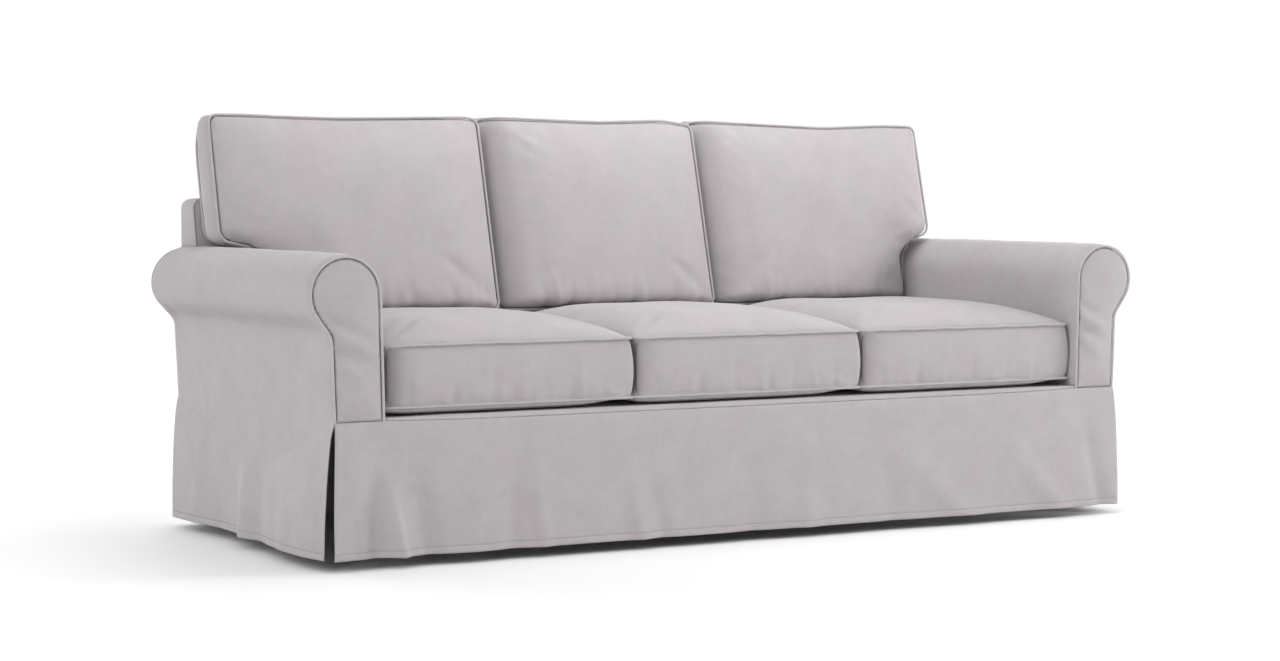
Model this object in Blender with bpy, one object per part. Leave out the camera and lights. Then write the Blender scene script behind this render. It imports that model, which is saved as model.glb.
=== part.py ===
"""Skirted slipcover for a three-seat sofa with rolled arms and loose cushions. Metres, +Z up.

Every piece is worked out from the hem: Z = 0 is the hem, Y = 0 the arm fronts with the back towards +Y,
and X = 0 the middle of the seat. The pieces hang from one empty, which moves that point so that the
origin lies under the middle of the seat deck, where the sofa's frame carries the cover.
"""

import math
from collections import namedtuple

import bmesh
import bpy

# Cloth and sewing
CLOTH = 0.002  # one ply of the cover
GAP = 0.0003  # between pieces that are sewn together
WELT = 0.003  # radius of a covered cord
WELT_SINK = 0.001  # how deep an arm welt's centre lies under both faces of its edge
ARM_EDGE = WELT_SINK + WELT + GAP  # from an arm's edge back to the cloth beside its welt

# The cover as a whole
SEAT_HALF = 0.894  # from the middle to an arm's seat side
ARM_THICK = 0.110
DEPTH = 0.873  # from the arm fronts to the outside back
SEAM = 0.279  # height of the skirt's seam, and of the slits at the corners
SEAM_SAG = 0.005  # how far the seam drops in front of the seat
DECK_TOP = 0.284
BACK_TOP = 0.726
BACK_HALF = 1.000
BACK_CORNER = 0.022
BACK_FRONT = 0.7955  # the inside back's depth at its height below
BACK_FRONT_HEIGHT = 0.7214
BACK_SLOPE = 0.20  # how far the inside back leans, per metre of height

# Arm rolls
ROLL_INNER = 0.900  # seat side of the roll
ROLL_RADIUS = 0.0775
ROLL_CENTRE = 0.5365
ROLL_UNDERCUT = math.radians(35)  # how far the roll's arc goes on under it
ROLL_SPREAD = 0.012  # the roll is this much fuller, in radius, at the back
ROLL_STEPS = 12
ROLL_CLEAR = 0.0022  # between the rolls and the back's pieces cut round them
WAIST = 0.450  # height of the crease under the roll
WAIST_OUT = 0.006  # the crease stands out this far past the side at the seam
WAIST_SPREAD = 0.009  # and this much more at the back
SEAM_SPREAD = 0.0067

# Skirt
SKIRT_HALF = 1.0035
SKIRT_OUT = 0.001
SLIT_FRONT = 0.008  # how far the slits gape at the hem
SLIT_BACK = 0.006
BACK_FLARE = 0.014

CROWN_FULLNESS = 2.7  # 2 for a parabola, more for a flatter top with steeper sides

# Seat cushions, boxed
SEAT_CENTRES = {"left": -0.595, "middle": -0.004, "right": 0.587}
SEAT_WIDTH = 0.577
SEAT_FRONT = 0.025
SEAT_BACK = 0.703
SEAT_LOW_SEAM = 0.303
SEAT_TOP_SEAM = 0.4275
SEAT_CORNER = 0.016
SEAT_CROWN = 0.060
SEAT_REAR_FULLNESS = 4.27  # the rear half is full enough for the back cushions to stand on it
SEAT_BELLY = SEAT_LOW_SEAM - DECK_TOP - GAP  # down to the deck
SEAT_WELT = (0.65, 0.56)  # how far out and how far up or down the cord's centre lies, in cord radii

# Back cushions, boxed, their front seam in a plane that leans back
CUSHION_LOW = 0.467
CUSHION_TOP = 0.909
CUSHION_FOOT = 0.644  # depth of the front seam at its foot
CUSHION_SLOPE = 0.2568
CUSHION_THICK = 0.078
CUSHION_CROWN = 0.052
CUSHION_REAR_CROWN = 0.0075  # back to the top edge of the inside back
CUSHION_WELT = (0.80, 0.69)
TOP_SAG = 0.006

CLOTH_COLOUR = (0.50, 0.475, 0.480, 1.0)
CUSHION_COLOUR = (0.52, 0.495, 0.500, 1.0)
WELT_COLOUR = (0.46, 0.435, 0.440, 1.0)

# How the outer side hangs below the slits' top: how far out its hem stands, and the height where it starts
SideHang = namedtuple("SideHang", "depth out reach")
SIDE_HANG = [
    SideHang(0.000, 0.024, 0.279),
    SideHang(0.090, 0.033, 0.250),
    SideHang(0.200, 0.034, 0.210),
    SideHang(0.285, 0.024, 0.180),
    SideHang(0.360, 0.010, 0.165),
    SideHang(0.405, 0.022, 0.165),
    SideHang(0.450, 0.032, 0.165),
    SideHang(0.495, 0.006, 0.165),
    SideHang(0.560, 0.003, 0.190),
    SideHang(0.680, 0.008, 0.230),
    SideHang(0.790, 0.018, 0.265),
    SideHang(0.873, 0.020, 0.279),
]

# Soft folds of a skirt: each runs from its foot at the hem up to its head, and stands out (or in, below 0)
Fold = namedtuple("Fold", "foot head head_height half_width rise")
FRONT_FOLDS = [
    Fold(-0.980, -0.915, 0.27, 0.024, 0.006),
    Fold(-0.905, -0.910, 0.18, 0.022, -0.006),
    Fold(-0.848, -0.905, 0.18, 0.018, 0.009),
    Fold(-0.590, -0.590, 0.24, 0.035, -0.007),
    Fold(-0.298, -0.330, 0.16, 0.018, 0.006),
    Fold(-0.020, -0.030, 0.20, 0.035, -0.005),
    Fold(0.125, 0.130, 0.23, 0.025, 0.006),
    Fold(0.570, 0.280, 0.21, 0.035, 0.006),
    Fold(0.830, 0.640, 0.21, 0.030, 0.005),
    Fold(0.960, 0.900, 0.26, 0.022, -0.006),
]
BACK_FOLDS = [
    Fold(-0.620, -0.600, 0.24, 0.050, -0.008),
    Fold(-0.210, -0.230, 0.20, 0.040, 0.007),
    Fold(0.280, 0.260, 0.22, 0.050, -0.007),
    Fold(0.700, 0.730, 0.24, 0.045, 0.007),
]

# Outline of a cushion seam: how far out and how high each corner is, and its radius
Corner = namedtuple("Corner", "out height radius")
EAR_OUT = 0.970
BODY_OUT = 0.873  # the notched cushions' outer side beside the arm
EAR_BLEND_LOW = 0.585
EAR_BLEND_HIGH = 0.665
EAR_OUTLINE = [
    Corner(EAR_OUT, CUSHION_TOP - 0.004, 0.028),
    Corner(EAR_OUT, 0.636, 0.030),
    Corner(0.893, 0.618, 0.030),
    Corner(0.864, CUSHION_LOW, 0.020),
]

COLLECTION = bpy.context.scene.collection


def clear_scene():
    for obj in list(bpy.data.objects):
        bpy.data.objects.remove(obj)


def mix(start, end, share):
    return start + (end - start) * share


def hang(share):
    """How much of its flare a hanging cloth has reached, from 0 at the seam to 1 at the hem."""
    return math.sin(math.pi / 2 * min(max(share, 0.0), 1.0)) ** 0.55


def fold_rise(folds, x, z):
    """How far the folds push the cloth out at this place."""
    total = 0.0
    for fold in folds:
        share = z / fold.head_height
        if share < 1:
            off = (x - mix(fold.foot, fold.head, share)) / fold.half_width
            total += fold.rise * math.cos(math.pi / 2 * share) * math.exp(-off * off)
    return total


def cloth_material(name, colour):
    material = bpy.data.materials.new(name)
    material.use_nodes = True
    shader = material.node_tree.nodes["Principled BSDF"]
    shader.inputs["Base Color"].default_value = colour
    shader.inputs["Roughness"].default_value = 0.9
    shader.inputs["Metallic"].default_value = 0.0
    return material


def add_object(name, data, material, datum):
    obj = bpy.data.objects.new(name, data)
    obj.data.materials.append(material)
    obj.parent = datum
    COLLECTION.objects.link(obj)
    return obj


def sheet(name, rows, material, datum, flip=False):
    """A sheet of cloth: rows of points on its outer face, thickened inwards."""
    across = len(rows[0])
    faces = []
    for row in range(len(rows) - 1):
        for column in range(across - 1):
            a = row * across + column
            b, c, d = a + 1, a + across + 1, a + across
            faces += [(a, c, b), (a, d, c)] if flip else [(a, b, c), (a, c, d)]
    mesh = bpy.data.meshes.new(name)
    mesh.from_pydata([point for row in rows for point in row], [], faces)
    mesh.shade_smooth()
    obj = add_object(name, mesh, material, datum)
    ply = obj.modifiers.new("Ply", "SOLIDIFY")
    ply.thickness = CLOTH
    ply.offset = -1.0
    ply.use_even_offset = True
    return obj


def filled(name, first, rings, last, material):
    """The mesh of a filled cushion: rings of as many points each, closed by a point at either end."""
    around = len(rings[0])
    points = [first] + [point for ring in rings for point in ring] + [last]
    end = len(points) - 1
    faces = []
    for i in range(around):
        j = (i + 1) % around
        faces.append((0, 1 + i, 1 + j))
        for ring in range(len(rings) - 1):
            a, b = 1 + ring * around + i, 1 + ring * around + j
            faces += [(a, a + around, b), (b, a + around, b + around)]
        low = 1 + (len(rings) - 1) * around
        faces.append((end, low + j, low + i))
    mesh = bpy.data.meshes.new(name)
    mesh.from_pydata(points, [], faces)
    work = bmesh.new()
    work.from_mesh(mesh)
    bmesh.ops.recalc_face_normals(work, faces=work.faces)
    work.to_mesh(mesh)
    work.free()
    mesh.shade_smooth()
    mesh.materials.append(material)
    return mesh


def dome(across, along, far_fullness=CROWN_FULLNESS):
    """Height of a cushion's crown, from 1 at the middle to 0 at its seams, which lie at -1 and 1."""
    fullness = far_fullness if along > 0 else CROWN_FULLNESS
    return max(0.0, 1 - abs(across) ** CROWN_FULLNESS) * max(0.0, 1 - abs(along) ** fullness)


def welt(name, points, closed, material, datum):
    """A covered cord along these points."""
    cord = bpy.data.curves.new(name, "CURVE")
    cord.dimensions = "3D"
    cord.bevel_depth = WELT
    cord.bevel_resolution = 0
    cord.use_fill_caps = True
    spline = cord.splines.new("POLY")
    spline.points.add(len(points) - 1)
    for target, (x, y, z) in zip(spline.points, points):
        target.co = (x, y, z, 1.0)
    spline.use_cyclic_u = closed
    return add_object(name, cord, material, datum)


def rounded(corners, corner_steps, longest):
    """A closed outline through rounded corners, its straight runs cut up no longer than this."""
    outline = []
    count = len(corners)
    for i, corner in enumerate(corners):
        before, after = corners[i - 1], corners[(i + 1) % count]
        to_before = (before.out - corner.out, before.height - corner.height)
        to_after = (after.out - corner.out, after.height - corner.height)
        length_before, length_after = math.hypot(*to_before), math.hypot(*to_after)
        to_before = [value / length_before for value in to_before]
        to_after = [value / length_after for value in to_after]
        half = math.acos(max(-1.0, min(1.0, sum(a * b for a, b in zip(to_before, to_after))))) / 2
        reach = corner.radius / math.tan(half)
        ends = [
            (corner.out + arm[0] * reach, corner.height + arm[1] * reach)
            for arm in (to_before, to_after)
        ]
        # A quadratic arc through the corner's two ends
        for step in range(corner_steps + 1):
            t = step / corner_steps
            weights = ((1 - t) ** 2, 2 * t * (1 - t), t**2)
            stations = (ends[0], (corner.out, corner.height), ends[1])
            outline.append(
                tuple(sum(w * p[axis] for w, p in zip(weights, stations)) for axis in (0, 1))
            )
    cut = []
    for i, start in enumerate(outline):
        end = outline[(i + 1) % len(outline)]
        pieces = max(1, math.ceil(math.dist(start, end) / longest))
        cut += [
            (mix(start[0], end[0], k / pieces), mix(start[1], end[1], k / pieces))
            for k in range(pieces)
        ]
    return cut


def edge_normals(outline, closed=True):
    """Unit normals of an outline, to the right of its direction, so outwards on one drawn anticlockwise."""
    normals = []
    count = len(outline)
    for i in range(count):
        before = outline[i - 1] if closed or i else outline[i]
        after = outline[(i + 1) % count] if closed or i < count - 1 else outline[i]
        along = (after[0] - before[0], after[1] - before[1])
        length = math.hypot(*along)
        normals.append((along[1] / length, -along[0] / length))
    return normals


def seam_height(x):
    """The skirt's seam, level under the arm fronts and a little lower in front of the seat."""
    share = min(abs(x) / SEAT_HALF, 1.0)
    return SEAM - SEAM_SAG * (1 - share**6)


def back_face(z):
    """Depth of the inside back's face."""
    return BACK_FRONT - (BACK_FRONT_HEIGHT - z) * BACK_SLOPE


def roll_at(y):
    """Half width and centre of the arm's roll at this depth."""
    half = ROLL_RADIUS + ROLL_SPREAD * y / DEPTH
    return half, ROLL_INNER + half


def side_out(y, z):
    """How far out the arm's outer side stands below its waist."""
    share = y / DEPTH
    at_seam = SEAT_HALF + ARM_THICK + SEAM_SPREAD * share
    at_waist = SEAT_HALF + ARM_THICK + WAIST_OUT + WAIST_SPREAD * share
    if z >= SEAM:
        return mix(at_seam, at_waist, (z - SEAM) / (WAIST - SEAM))
    return at_seam


def arm_section(y):
    """An arm's outer face above the seam at this depth, from the seat side over the roll and down."""
    half, centre = roll_at(y)
    points = [
        (mix(SEAT_HALF, ROLL_INNER, share), mix(SEAM, ROLL_CENTRE, share)) for share in (0, 0.35, 0.7)
    ]
    for step in range(ROLL_STEPS + 1):
        angle = math.pi - (math.pi + ROLL_UNDERCUT) * step / ROLL_STEPS
        points.append(
            (centre + half * math.cos(angle), ROLL_CENTRE + ROLL_RADIUS * math.sin(angle))
        )
    under = points[-1]
    waist = (side_out(y, WAIST), WAIST)
    points.append((mix(under[0], waist[0], 0.6), mix(under[1], waist[1], 0.6)))
    points.append((waist[0] + 0.002, WAIST + 0.006))
    points += [(side_out(y, z), z) for z in (WAIST - 0.012, mix(SEAM, WAIST, 0.45), SEAM)]
    return points


def build_arm(side, material, welt_material, datum):
    """Cover, front panel and welt of one arm. side is -1 for the left arm and 1 for the right."""
    name = "left" if side < 0 else "right"
    low_heights = [SEAM * share for share in (0.85, 0.66, 0.44, 0.22, 0.0)]
    rear_edge = DEPTH - CLOTH - GAP
    rows = []
    for station in SIDE_HANG:
        share = station.depth / DEPTH
        y = mix(ARM_EDGE, rear_edge, share)
        row = [(side * x, y, z) for x, z in arm_section(station.depth)]
        for z in low_heights:
            drop = 1 - z / SEAM
            x = side_out(station.depth, z) + station.out * hang(1 - z / station.reach)
            low_y = mix(ARM_EDGE + SLIT_FRONT * drop, rear_edge - SLIT_BACK * drop, share)
            row.append((side * x, low_y, z))
        rows.append(row)
    sheet(f"arm_cover_{name}", rows, material, datum, flip=side < 0)

    # The front panel is as deep as the welt's seam inside the arm's outline, and a little padded.
    outline = arm_section(0.0)
    normals = edge_normals(outline, closed=False)
    pads = [(ARM_EDGE, 0.0), (0.014, -0.0016), (0.028, -0.0028)]
    rings = []
    for inset, y in pads:
        ring = [
            (side * (x + nx * inset), y, max(z + nz * inset, SEAM + inset - ARM_EDGE))
            for (x, z), (nx, nz) in zip(outline, normals)
        ]
        rings.append(ring)
    around = len(outline)
    faces = []
    for k in range(len(rings) - 1):
        for i in range(around):
            j = (i + 1) % around
            a, b, c, d = k * around + i, k * around + j, (k + 1) * around + j, (k + 1) * around + i
            faces.append((a, b, c, d))
    faces.append(tuple(range((len(rings) - 1) * around, len(rings) * around)))
    mesh = bpy.data.meshes.new(f"arm_front_{name}")
    mesh.from_pydata([point for ring in rings for point in ring], [], faces)
    work = bmesh.new()
    work.from_mesh(mesh)
    bmesh.ops.triangulate(work, faces=work.faces)
    bmesh.ops.recalc_face_normals(work, faces=work.faces)
    if sum(face.normal.y * face.calc_area() for face in work.faces) > 0:
        bmesh.ops.reverse_faces(work, faces=work.faces)
    work.to_mesh(mesh)
    work.free()
    mesh.shade_smooth()
    panel = add_object(f"arm_front_{name}", mesh, material, datum)
    ply = panel.modifiers.new("Ply", "SOLIDIFY")
    ply.thickness = CLOTH
    ply.offset = -1.0

    path = [
        (side * (x + nx * WELT_SINK), WELT_SINK, z + nz * WELT_SINK)
        for (x, z), (nx, nz) in zip(outline, normals)
    ]
    path[0] = (path[0][0], path[0][1], SEAM)
    path[-1] = (path[-1][0], path[-1][1], SEAM)
    welt(f"arm_welt_{name}", path, False, welt_material, datum)


def fold_columns(folds, half, spacing):
    """Places across a skirt: evenly spaced, with more at the foot of each fold."""
    count = round(2 * half / spacing)
    places = [half * (2 * i / count - 1) for i in range(count + 1)]
    for fold in folds:
        places += [fold.foot + fold.half_width * step for step in (-1.2, 0, 1.2)]
    places = sorted(place for place in places if abs(place) <= half)
    kept = [places[0]]
    for place in places[1:-1]:
        if place - kept[-1] > spacing / 4 and half - place > spacing / 4:
            kept.append(place)
    return kept + [half]


def build_front_skirt(material, datum):
    columns = fold_columns(FRONT_FOLDS, SKIRT_HALF, 0.056)
    rows = []
    for share in (0.0, 0.2, 0.42, 0.66, 0.86, 1.0):
        row = []
        for x in columns:
            z = share * (seam_height(x) - GAP)
            flare = mix(0.008, 0.024, (x + SKIRT_HALF) / (2 * SKIRT_HALF))
            out = SKIRT_OUT + flare * hang(1 - share) + fold_rise(FRONT_FOLDS, x, z)
            row.append((x, -out, z))
        rows.append(row)
    sheet("front_skirt", rows, material, datum)


def build_seat_deck(material, datum):
    half = SEAT_HALF - WELT + WELT_SINK - 2 * GAP
    columns = [half * (i / 6 - 1) for i in range(13)]
    rows = []
    # The front edge turns back over the rail in a quarter round.
    for turn in (0.0, 0.35, 0.7, 1.0):
        angle = turn * math.pi / 2
        row = []
        for x in columns:
            drop = DECK_TOP - seam_height(x)
            row.append((x, drop * (1 - math.cos(angle)), seam_height(x) + drop * math.sin(angle)))
        rows.append(row)
    for y in (0.06, 0.25, 0.50, back_face(DECK_TOP) + 0.003):
        rows.append([(x, y, DECK_TOP) for x in columns])
    sheet("seat_deck", rows, material, datum)


def build_inside_back(material, datum):
    """Between the arms below their rolls, and over them to the back's full width above."""
    cut = ROLL_RADIUS + ROLL_CLEAR
    levels = [(DECK_TOP + 0.001, None), (0.40, None), (0.49, None)]
    levels += [(ROLL_CENTRE + cut * rise, None) for rise in (0.0, 0.4, 0.7, 0.88, 0.97)]
    levels += [(ROLL_CENTRE + cut, BACK_HALF), (0.665, BACK_HALF)]
    levels += back_shoulder()
    rows = []
    for z, half in levels:
        y = back_face(z)
        if half is None:
            roll_half, centre = roll_at(y)
            rise = max(z - ROLL_CENTRE, 0.0) / cut
            along_roll = centre - (roll_half + ROLL_CLEAR) * math.sqrt(1 - rise * rise)
            along_side = mix(SEAT_HALF, ROLL_INNER, (z - SEAM) / (ROLL_CENTRE - SEAM)) - 2 * GAP
            half = min(along_side, along_roll) if z < ROLL_CENTRE else along_roll
        rows.append([(half * across, y, z) for across in (-1.0, -0.6, -0.2, 0.2, 0.6, 1.0)])
    sheet("inside_back", rows, material, datum)


def back_shoulder():
    """Height and half width of the back's outline round its top corner."""
    low, inner = BACK_TOP - BACK_CORNER, BACK_HALF - BACK_CORNER
    return [
        (low + BACK_CORNER * math.sin(angle), inner + BACK_CORNER * math.cos(angle))
        for angle in (0.0, math.pi / 6, math.pi / 3, math.pi / 2)
    ]


def build_back_border(material, datum):
    foot = ROLL_CENTRE + ROLL_RADIUS + ROLL_CLEAR
    right = [(BACK_HALF, foot), (BACK_HALF, 0.665)] + [(half, z) for z, half in back_shoulder()]
    path = right + [(0.5, BACK_TOP), (0.0, BACK_TOP), (-0.5, BACK_TOP)]
    path += [(-x, z) for x, z in reversed(right)]
    rows = []
    for share in (0.0, 0.5, 1.0):
        rows.append(
            [(x, mix(back_face(z) + CLOTH + 2 * GAP, DEPTH - CLOTH - GAP, share), z) for x, z in path]
        )
    sheet("back_border", rows, material, datum, flip=True)


def build_outside_back(material, datum):
    """One panel with an ear over the end of each roll, flared below the slits like the skirt."""
    section = arm_section(DEPTH)
    levels = [(SEAM * share, section[-1][0]) for share in (0.0, 0.22, 0.5, 0.8)]
    levels += [(z, x) for x, z in reversed(section) if x > BACK_HALF and z < ROLL_CENTRE + ROLL_RADIUS]
    levels += [(ROLL_CENTRE + ROLL_RADIUS + ROLL_CLEAR, BACK_HALF), (0.665, BACK_HALF)]
    levels += back_shoulder()
    places = [-1.0, -0.93] + [i / 8 for i in range(-7, 8)] + [0.93, 1.0]
    rows = []
    for z, half in levels:
        flare = BACK_FLARE * hang(1 - z / SEAM)
        rows.append(
            [(half * place, DEPTH + flare + fold_rise(BACK_FOLDS, half * place, z), z) for place in places]
        )
    sheet("outside_back", rows, material, datum, flip=True)


def build_seat_cushions(material, welt_material, datum):
    half, middle = SEAT_WIDTH / 2, (SEAT_FRONT + SEAT_BACK) / 2
    corners = [
        Corner(out, depth, SEAT_CORNER)
        for out, depth in ((-half, SEAT_FRONT), (half, SEAT_FRONT), (half, SEAT_BACK), (-half, SEAT_BACK))
    ]
    outline = rounded(corners, 2, 0.10)
    normals = edge_normals(outline)

    def ring(scale, z, rise=0.0, bulge=lambda nx, ny: 0.0):
        points = []
        for (x, y), (nx, ny) in zip(outline, normals):
            x, y = x * scale, middle + (y - middle) * scale
            along = 2 * (y - middle) / (SEAT_BACK - SEAT_FRONT)
            crown = dome(x / half, along, SEAT_REAR_FULLNESS) if scale < 1 else 0.0
            points.append((x + nx * bulge(nx, ny), y + ny * bulge(nx, ny), z + rise * crown))
        return points

    def boxing(nx, ny):
        """Out on the right, where it presses on its neighbour, and in on the left."""
        return 0.008 * max(nx, 0.0) - 0.012 * max(-nx, 0.0) + 0.006 * max(-ny, 0.0)

    rings = [ring(scale, SEAT_TOP_SEAM, SEAT_CROWN) for scale in (0.33, 0.6, 0.8, 0.93, 1.0)]
    rings.append(ring(1.0, mix(SEAT_TOP_SEAM, SEAT_LOW_SEAM, 0.5), bulge=boxing))
    rings.append(ring(1.0, SEAT_LOW_SEAM))
    rings += [ring(0.95, SEAT_LOW_SEAM - 0.7 * SEAT_BELLY), ring(0.86, SEAT_LOW_SEAM - SEAT_BELLY)]
    top, low = SEAT_TOP_SEAM + SEAT_CROWN, SEAT_LOW_SEAM - SEAT_BELLY
    mesh = filled("seat_cushion", (0, middle, top), rings, (0, middle, low), material)
    out, up = SEAT_WELT
    for name, centre in SEAT_CENTRES.items():
        cushion = bpy.data.objects.new(f"seat_cushion_{name}", mesh)
        cushion.parent = datum
        cushion.location.x = centre
        COLLECTION.objects.link(cushion)
        for level, z, lift in (("top", SEAT_TOP_SEAM, 1), ("bottom", SEAT_LOW_SEAM, -1)):
            points = [
                (x + nx * out * WELT, y + ny * out * WELT, z + lift * up * WELT)
                for (x, y), (nx, ny) in zip(outline, normals)
            ]
            cord = welt(f"seat_welt_{level}_{name}", points, True, welt_material, datum)
            cord.location.x = centre


def cushion_face(z):
    """Depth of a back cushion's front seam at this height."""
    return CUSHION_FOOT + (z - CUSHION_LOW) * CUSHION_SLOPE


def build_back_cushion(name, corners, side, material, welt_material, datum):
    """side is -1 or 1 for the notched cushion of that arm, and 0 for the plain one."""
    outline = rounded(corners, 3, 0.085)
    if side < 0:
        outline = [(-x, z) for x, z in reversed(outline)]
    low_x, high_x = min(x for x, z in outline), max(x for x, z in outline)
    outline = [
        (x, z - TOP_SAG * math.sin(math.pi * (x - low_x) / (high_x - low_x)) * (z > CUSHION_TOP - 0.03))
        for x, z in outline
    ]
    normals = edge_normals(outline)
    hub_x = (low_x + high_x) / 2 - side * 0.03
    hub_z = mix(CUSHION_LOW, CUSHION_TOP, 0.5)

    def crown(x, z):
        """The ear's side of a notched cushion is wider above the arm, so its dome widens there too."""
        widen = min(max((z - EAR_BLEND_LOW) / (EAR_BLEND_HIGH - EAR_BLEND_LOW), 0.0), 1.0)
        ear = (EAR_OUT - BODY_OUT) * (1 - widen)
        left, right = low_x + ear * (side < 0), high_x - ear * (side > 0)
        return dome((2 * x - left - right) / (right - left), 2 * (z - hub_z) / (CUSHION_TOP - CUSHION_LOW))

    def ring(scale, behind, rise=0.0, bulge=lambda nx: 0.0):
        points = []
        for (x, z), (nx, nz) in zip(outline, normals):
            x = hub_x + (x - hub_x) * scale + nx * bulge(nx)
            z = hub_z + (z - hub_z) * scale + nz * bulge(nx)
            points.append((x, cushion_face(z) + behind - (rise * crown(x, z) if rise else 0.0), z))
        return points

    def boxing(nx):
        return 0.003 + 0.007 * max(nx * side, 0.0)

    rings = [ring(scale, 0.0, CUSHION_CROWN) for scale in (0.36, 0.62, 0.82, 0.94)]
    rings += [ring(1.0, 0.0), ring(1.0, CUSHION_THICK / 2, bulge=boxing), ring(1.0, CUSHION_THICK)]
    rings.append(ring(0.8, CUSHION_THICK + CUSHION_REAR_CROWN))
    hub_y = cushion_face(hub_z)
    mesh = filled(
        f"back_cushion_{name}",
        (hub_x, hub_y - CUSHION_CROWN, hub_z),
        rings,
        (hub_x, hub_y + CUSHION_THICK + CUSHION_REAR_CROWN, hub_z),
        material,
    )
    cushion = bpy.data.objects.new(f"back_cushion_{name}", mesh)
    cushion.parent = datum
    COLLECTION.objects.link(cushion)
    out, up = CUSHION_WELT
    for level, behind, push in (("front", 0.0, -1), ("rear", CUSHION_THICK, 1)):
        points = [
            (x + nx * out * WELT, cushion_face(z) + behind + push * up * WELT, z + nz * out * WELT)
            for (x, z), (nx, nz) in zip(outline, normals)
        ]
        welt(f"back_welt_{level}_{name}", points, True, welt_material, datum)


def build_back_cushions(material, welt_material, datum):
    half = SEAT_WIDTH / 2
    plain = [
        Corner(SEAT_CENTRES["middle"] + out, z, radius)
        for out, z, radius in (
            (-half, CUSHION_LOW, 0.02),
            (half, CUSHION_LOW, 0.02),
            (half, CUSHION_TOP, 0.026),
            (-half, CUSHION_TOP, 0.026),
        )
    ]
    build_back_cushion("middle", plain, 0, material, welt_material, datum)
    for side, name in ((-1, "left"), (1, "right")):
        inner = abs(SEAT_CENTRES[name]) - half
        notched = [Corner(inner, CUSHION_LOW, 0.02)] + EAR_OUTLINE[::-1]
        notched.append(Corner(inner, CUSHION_TOP, 0.026))
        build_back_cushion(name, notched, side, material, welt_material, datum)


def main():
    clear_scene()
    datum = bpy.data.objects.new("seat_datum", None)
    datum.location = (0.0, -DEPTH / 2, -(DECK_TOP - CLOTH))
    COLLECTION.objects.link(datum)
    cover = cloth_material("cover_cloth", CLOTH_COLOUR)
    cushion = cloth_material("cushion_cloth", CUSHION_COLOUR)
    cord = cloth_material("welt_cloth", WELT_COLOUR)
    for side in (-1, 1):
        build_arm(side, cover, cord, datum)
    build_seat_deck(cover, datum)
    build_front_skirt(cover, datum)
    build_inside_back(cover, datum)
    build_back_border(cover, datum)
    build_outside_back(cover, datum)
    build_seat_cushions(cushion, cord, datum)
    build_back_cushions(cushion, cord, datum)


main()
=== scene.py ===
"""Looks of a skirted slipcover for a three-seat sofa with rolled arms and loose cushions. Metres, +Z up.

Places are given as the maker measures them: Z from the hem, Y from the arm fronts towards the back and
X from the middle of the seat.
"""

import math

import bmesh
import bpy
import numpy as np
from mathutils import Matrix, Vector


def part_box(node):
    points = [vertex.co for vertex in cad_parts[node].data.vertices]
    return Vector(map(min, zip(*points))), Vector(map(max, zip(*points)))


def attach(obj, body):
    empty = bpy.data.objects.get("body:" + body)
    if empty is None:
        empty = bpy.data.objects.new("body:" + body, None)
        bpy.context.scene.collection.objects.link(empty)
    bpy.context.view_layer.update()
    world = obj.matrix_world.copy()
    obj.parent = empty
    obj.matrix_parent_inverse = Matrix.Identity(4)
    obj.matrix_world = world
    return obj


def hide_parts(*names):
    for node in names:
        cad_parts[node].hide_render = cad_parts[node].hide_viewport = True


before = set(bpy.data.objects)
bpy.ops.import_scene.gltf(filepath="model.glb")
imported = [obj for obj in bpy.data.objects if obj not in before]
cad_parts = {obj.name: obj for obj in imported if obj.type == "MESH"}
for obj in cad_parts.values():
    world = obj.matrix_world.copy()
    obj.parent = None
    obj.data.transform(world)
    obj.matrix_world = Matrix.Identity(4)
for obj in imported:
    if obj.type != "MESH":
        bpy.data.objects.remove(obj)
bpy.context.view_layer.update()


# THE ROOM
# A white floor a little below the hem in a white room, which is brightest behind and at the right, with
# two soft lamps. The camera stands at the front left, as far off and as high as in the photograph.

ARM_EDGE = 0.0043  # from an arm's front to the cloth beside its welt
HEM_CLEARANCE = 0.023
FLOOR_HALF = 30
FLOOR_COLOUR = (0.93, 0.93, 0.935, 1.0)
FLOOR_ROUGHNESS = 0.8
CAMERA_PLACE = Vector((-3.150, -4.930, 0.750))
CAMERA_YAW = 30.07
CAMERA_PITCH = -3.05
CAMERA_LENS = 75.1
LAMP_AIM = Vector((0.0, 0.35, 0.4))
ROOM_STRENGTH = 4.0  # what the shares below are shares of
ROOM_HORIZON = 0.258
# By the height in degrees where a part of the room begins: the bearing in degrees from which it is this
# bright. 0 is the right, 90 behind, -90 in front
ROOM = {
    7: [(-180, 0.674), (-135, 0.073), (-90, 0.055), (-45, 0.630), (45, 0.930), (135, 0.0)],
    30: [(-180, 0.560), (-135, 0.100), (-90, 0.420), (-45, 0.1), (45, 0.185), (135, 0.0)],
    60: [(-180, 0.131)],
}
LAMPS = {  # place, width and watts
    "lamp_right": ((4.5, -1.5, 1.8), 2.0, 71.0),
    "lamp_over_seat": ((0.2, 0.25, 2.2), 1.6, 16.0),
}


def feed(node, fed):
    """Gives each of these inputs of a node its value, or a link from its socket."""
    for place, value in fed.items():
        if isinstance(value, bpy.types.NodeSocket):
            node.id_data.links.new(value, node.inputs[place])
        else:
            node.inputs[place].default_value = value
    return node


def add_node(tree, kind, fed=(), **settings):
    """A new node of a tree, with its settings and what its inputs are fed."""
    node = tree.nodes.new(kind)
    for name, value in settings.items():
        setattr(node, name, value)
    return feed(node, dict(fed))


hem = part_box("front_skirt")[0].z
arm_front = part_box("arm_cover_left")[0].y - ARM_EDGE
datum = Vector((0.0, arm_front, hem))
scene = bpy.context.scene

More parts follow.
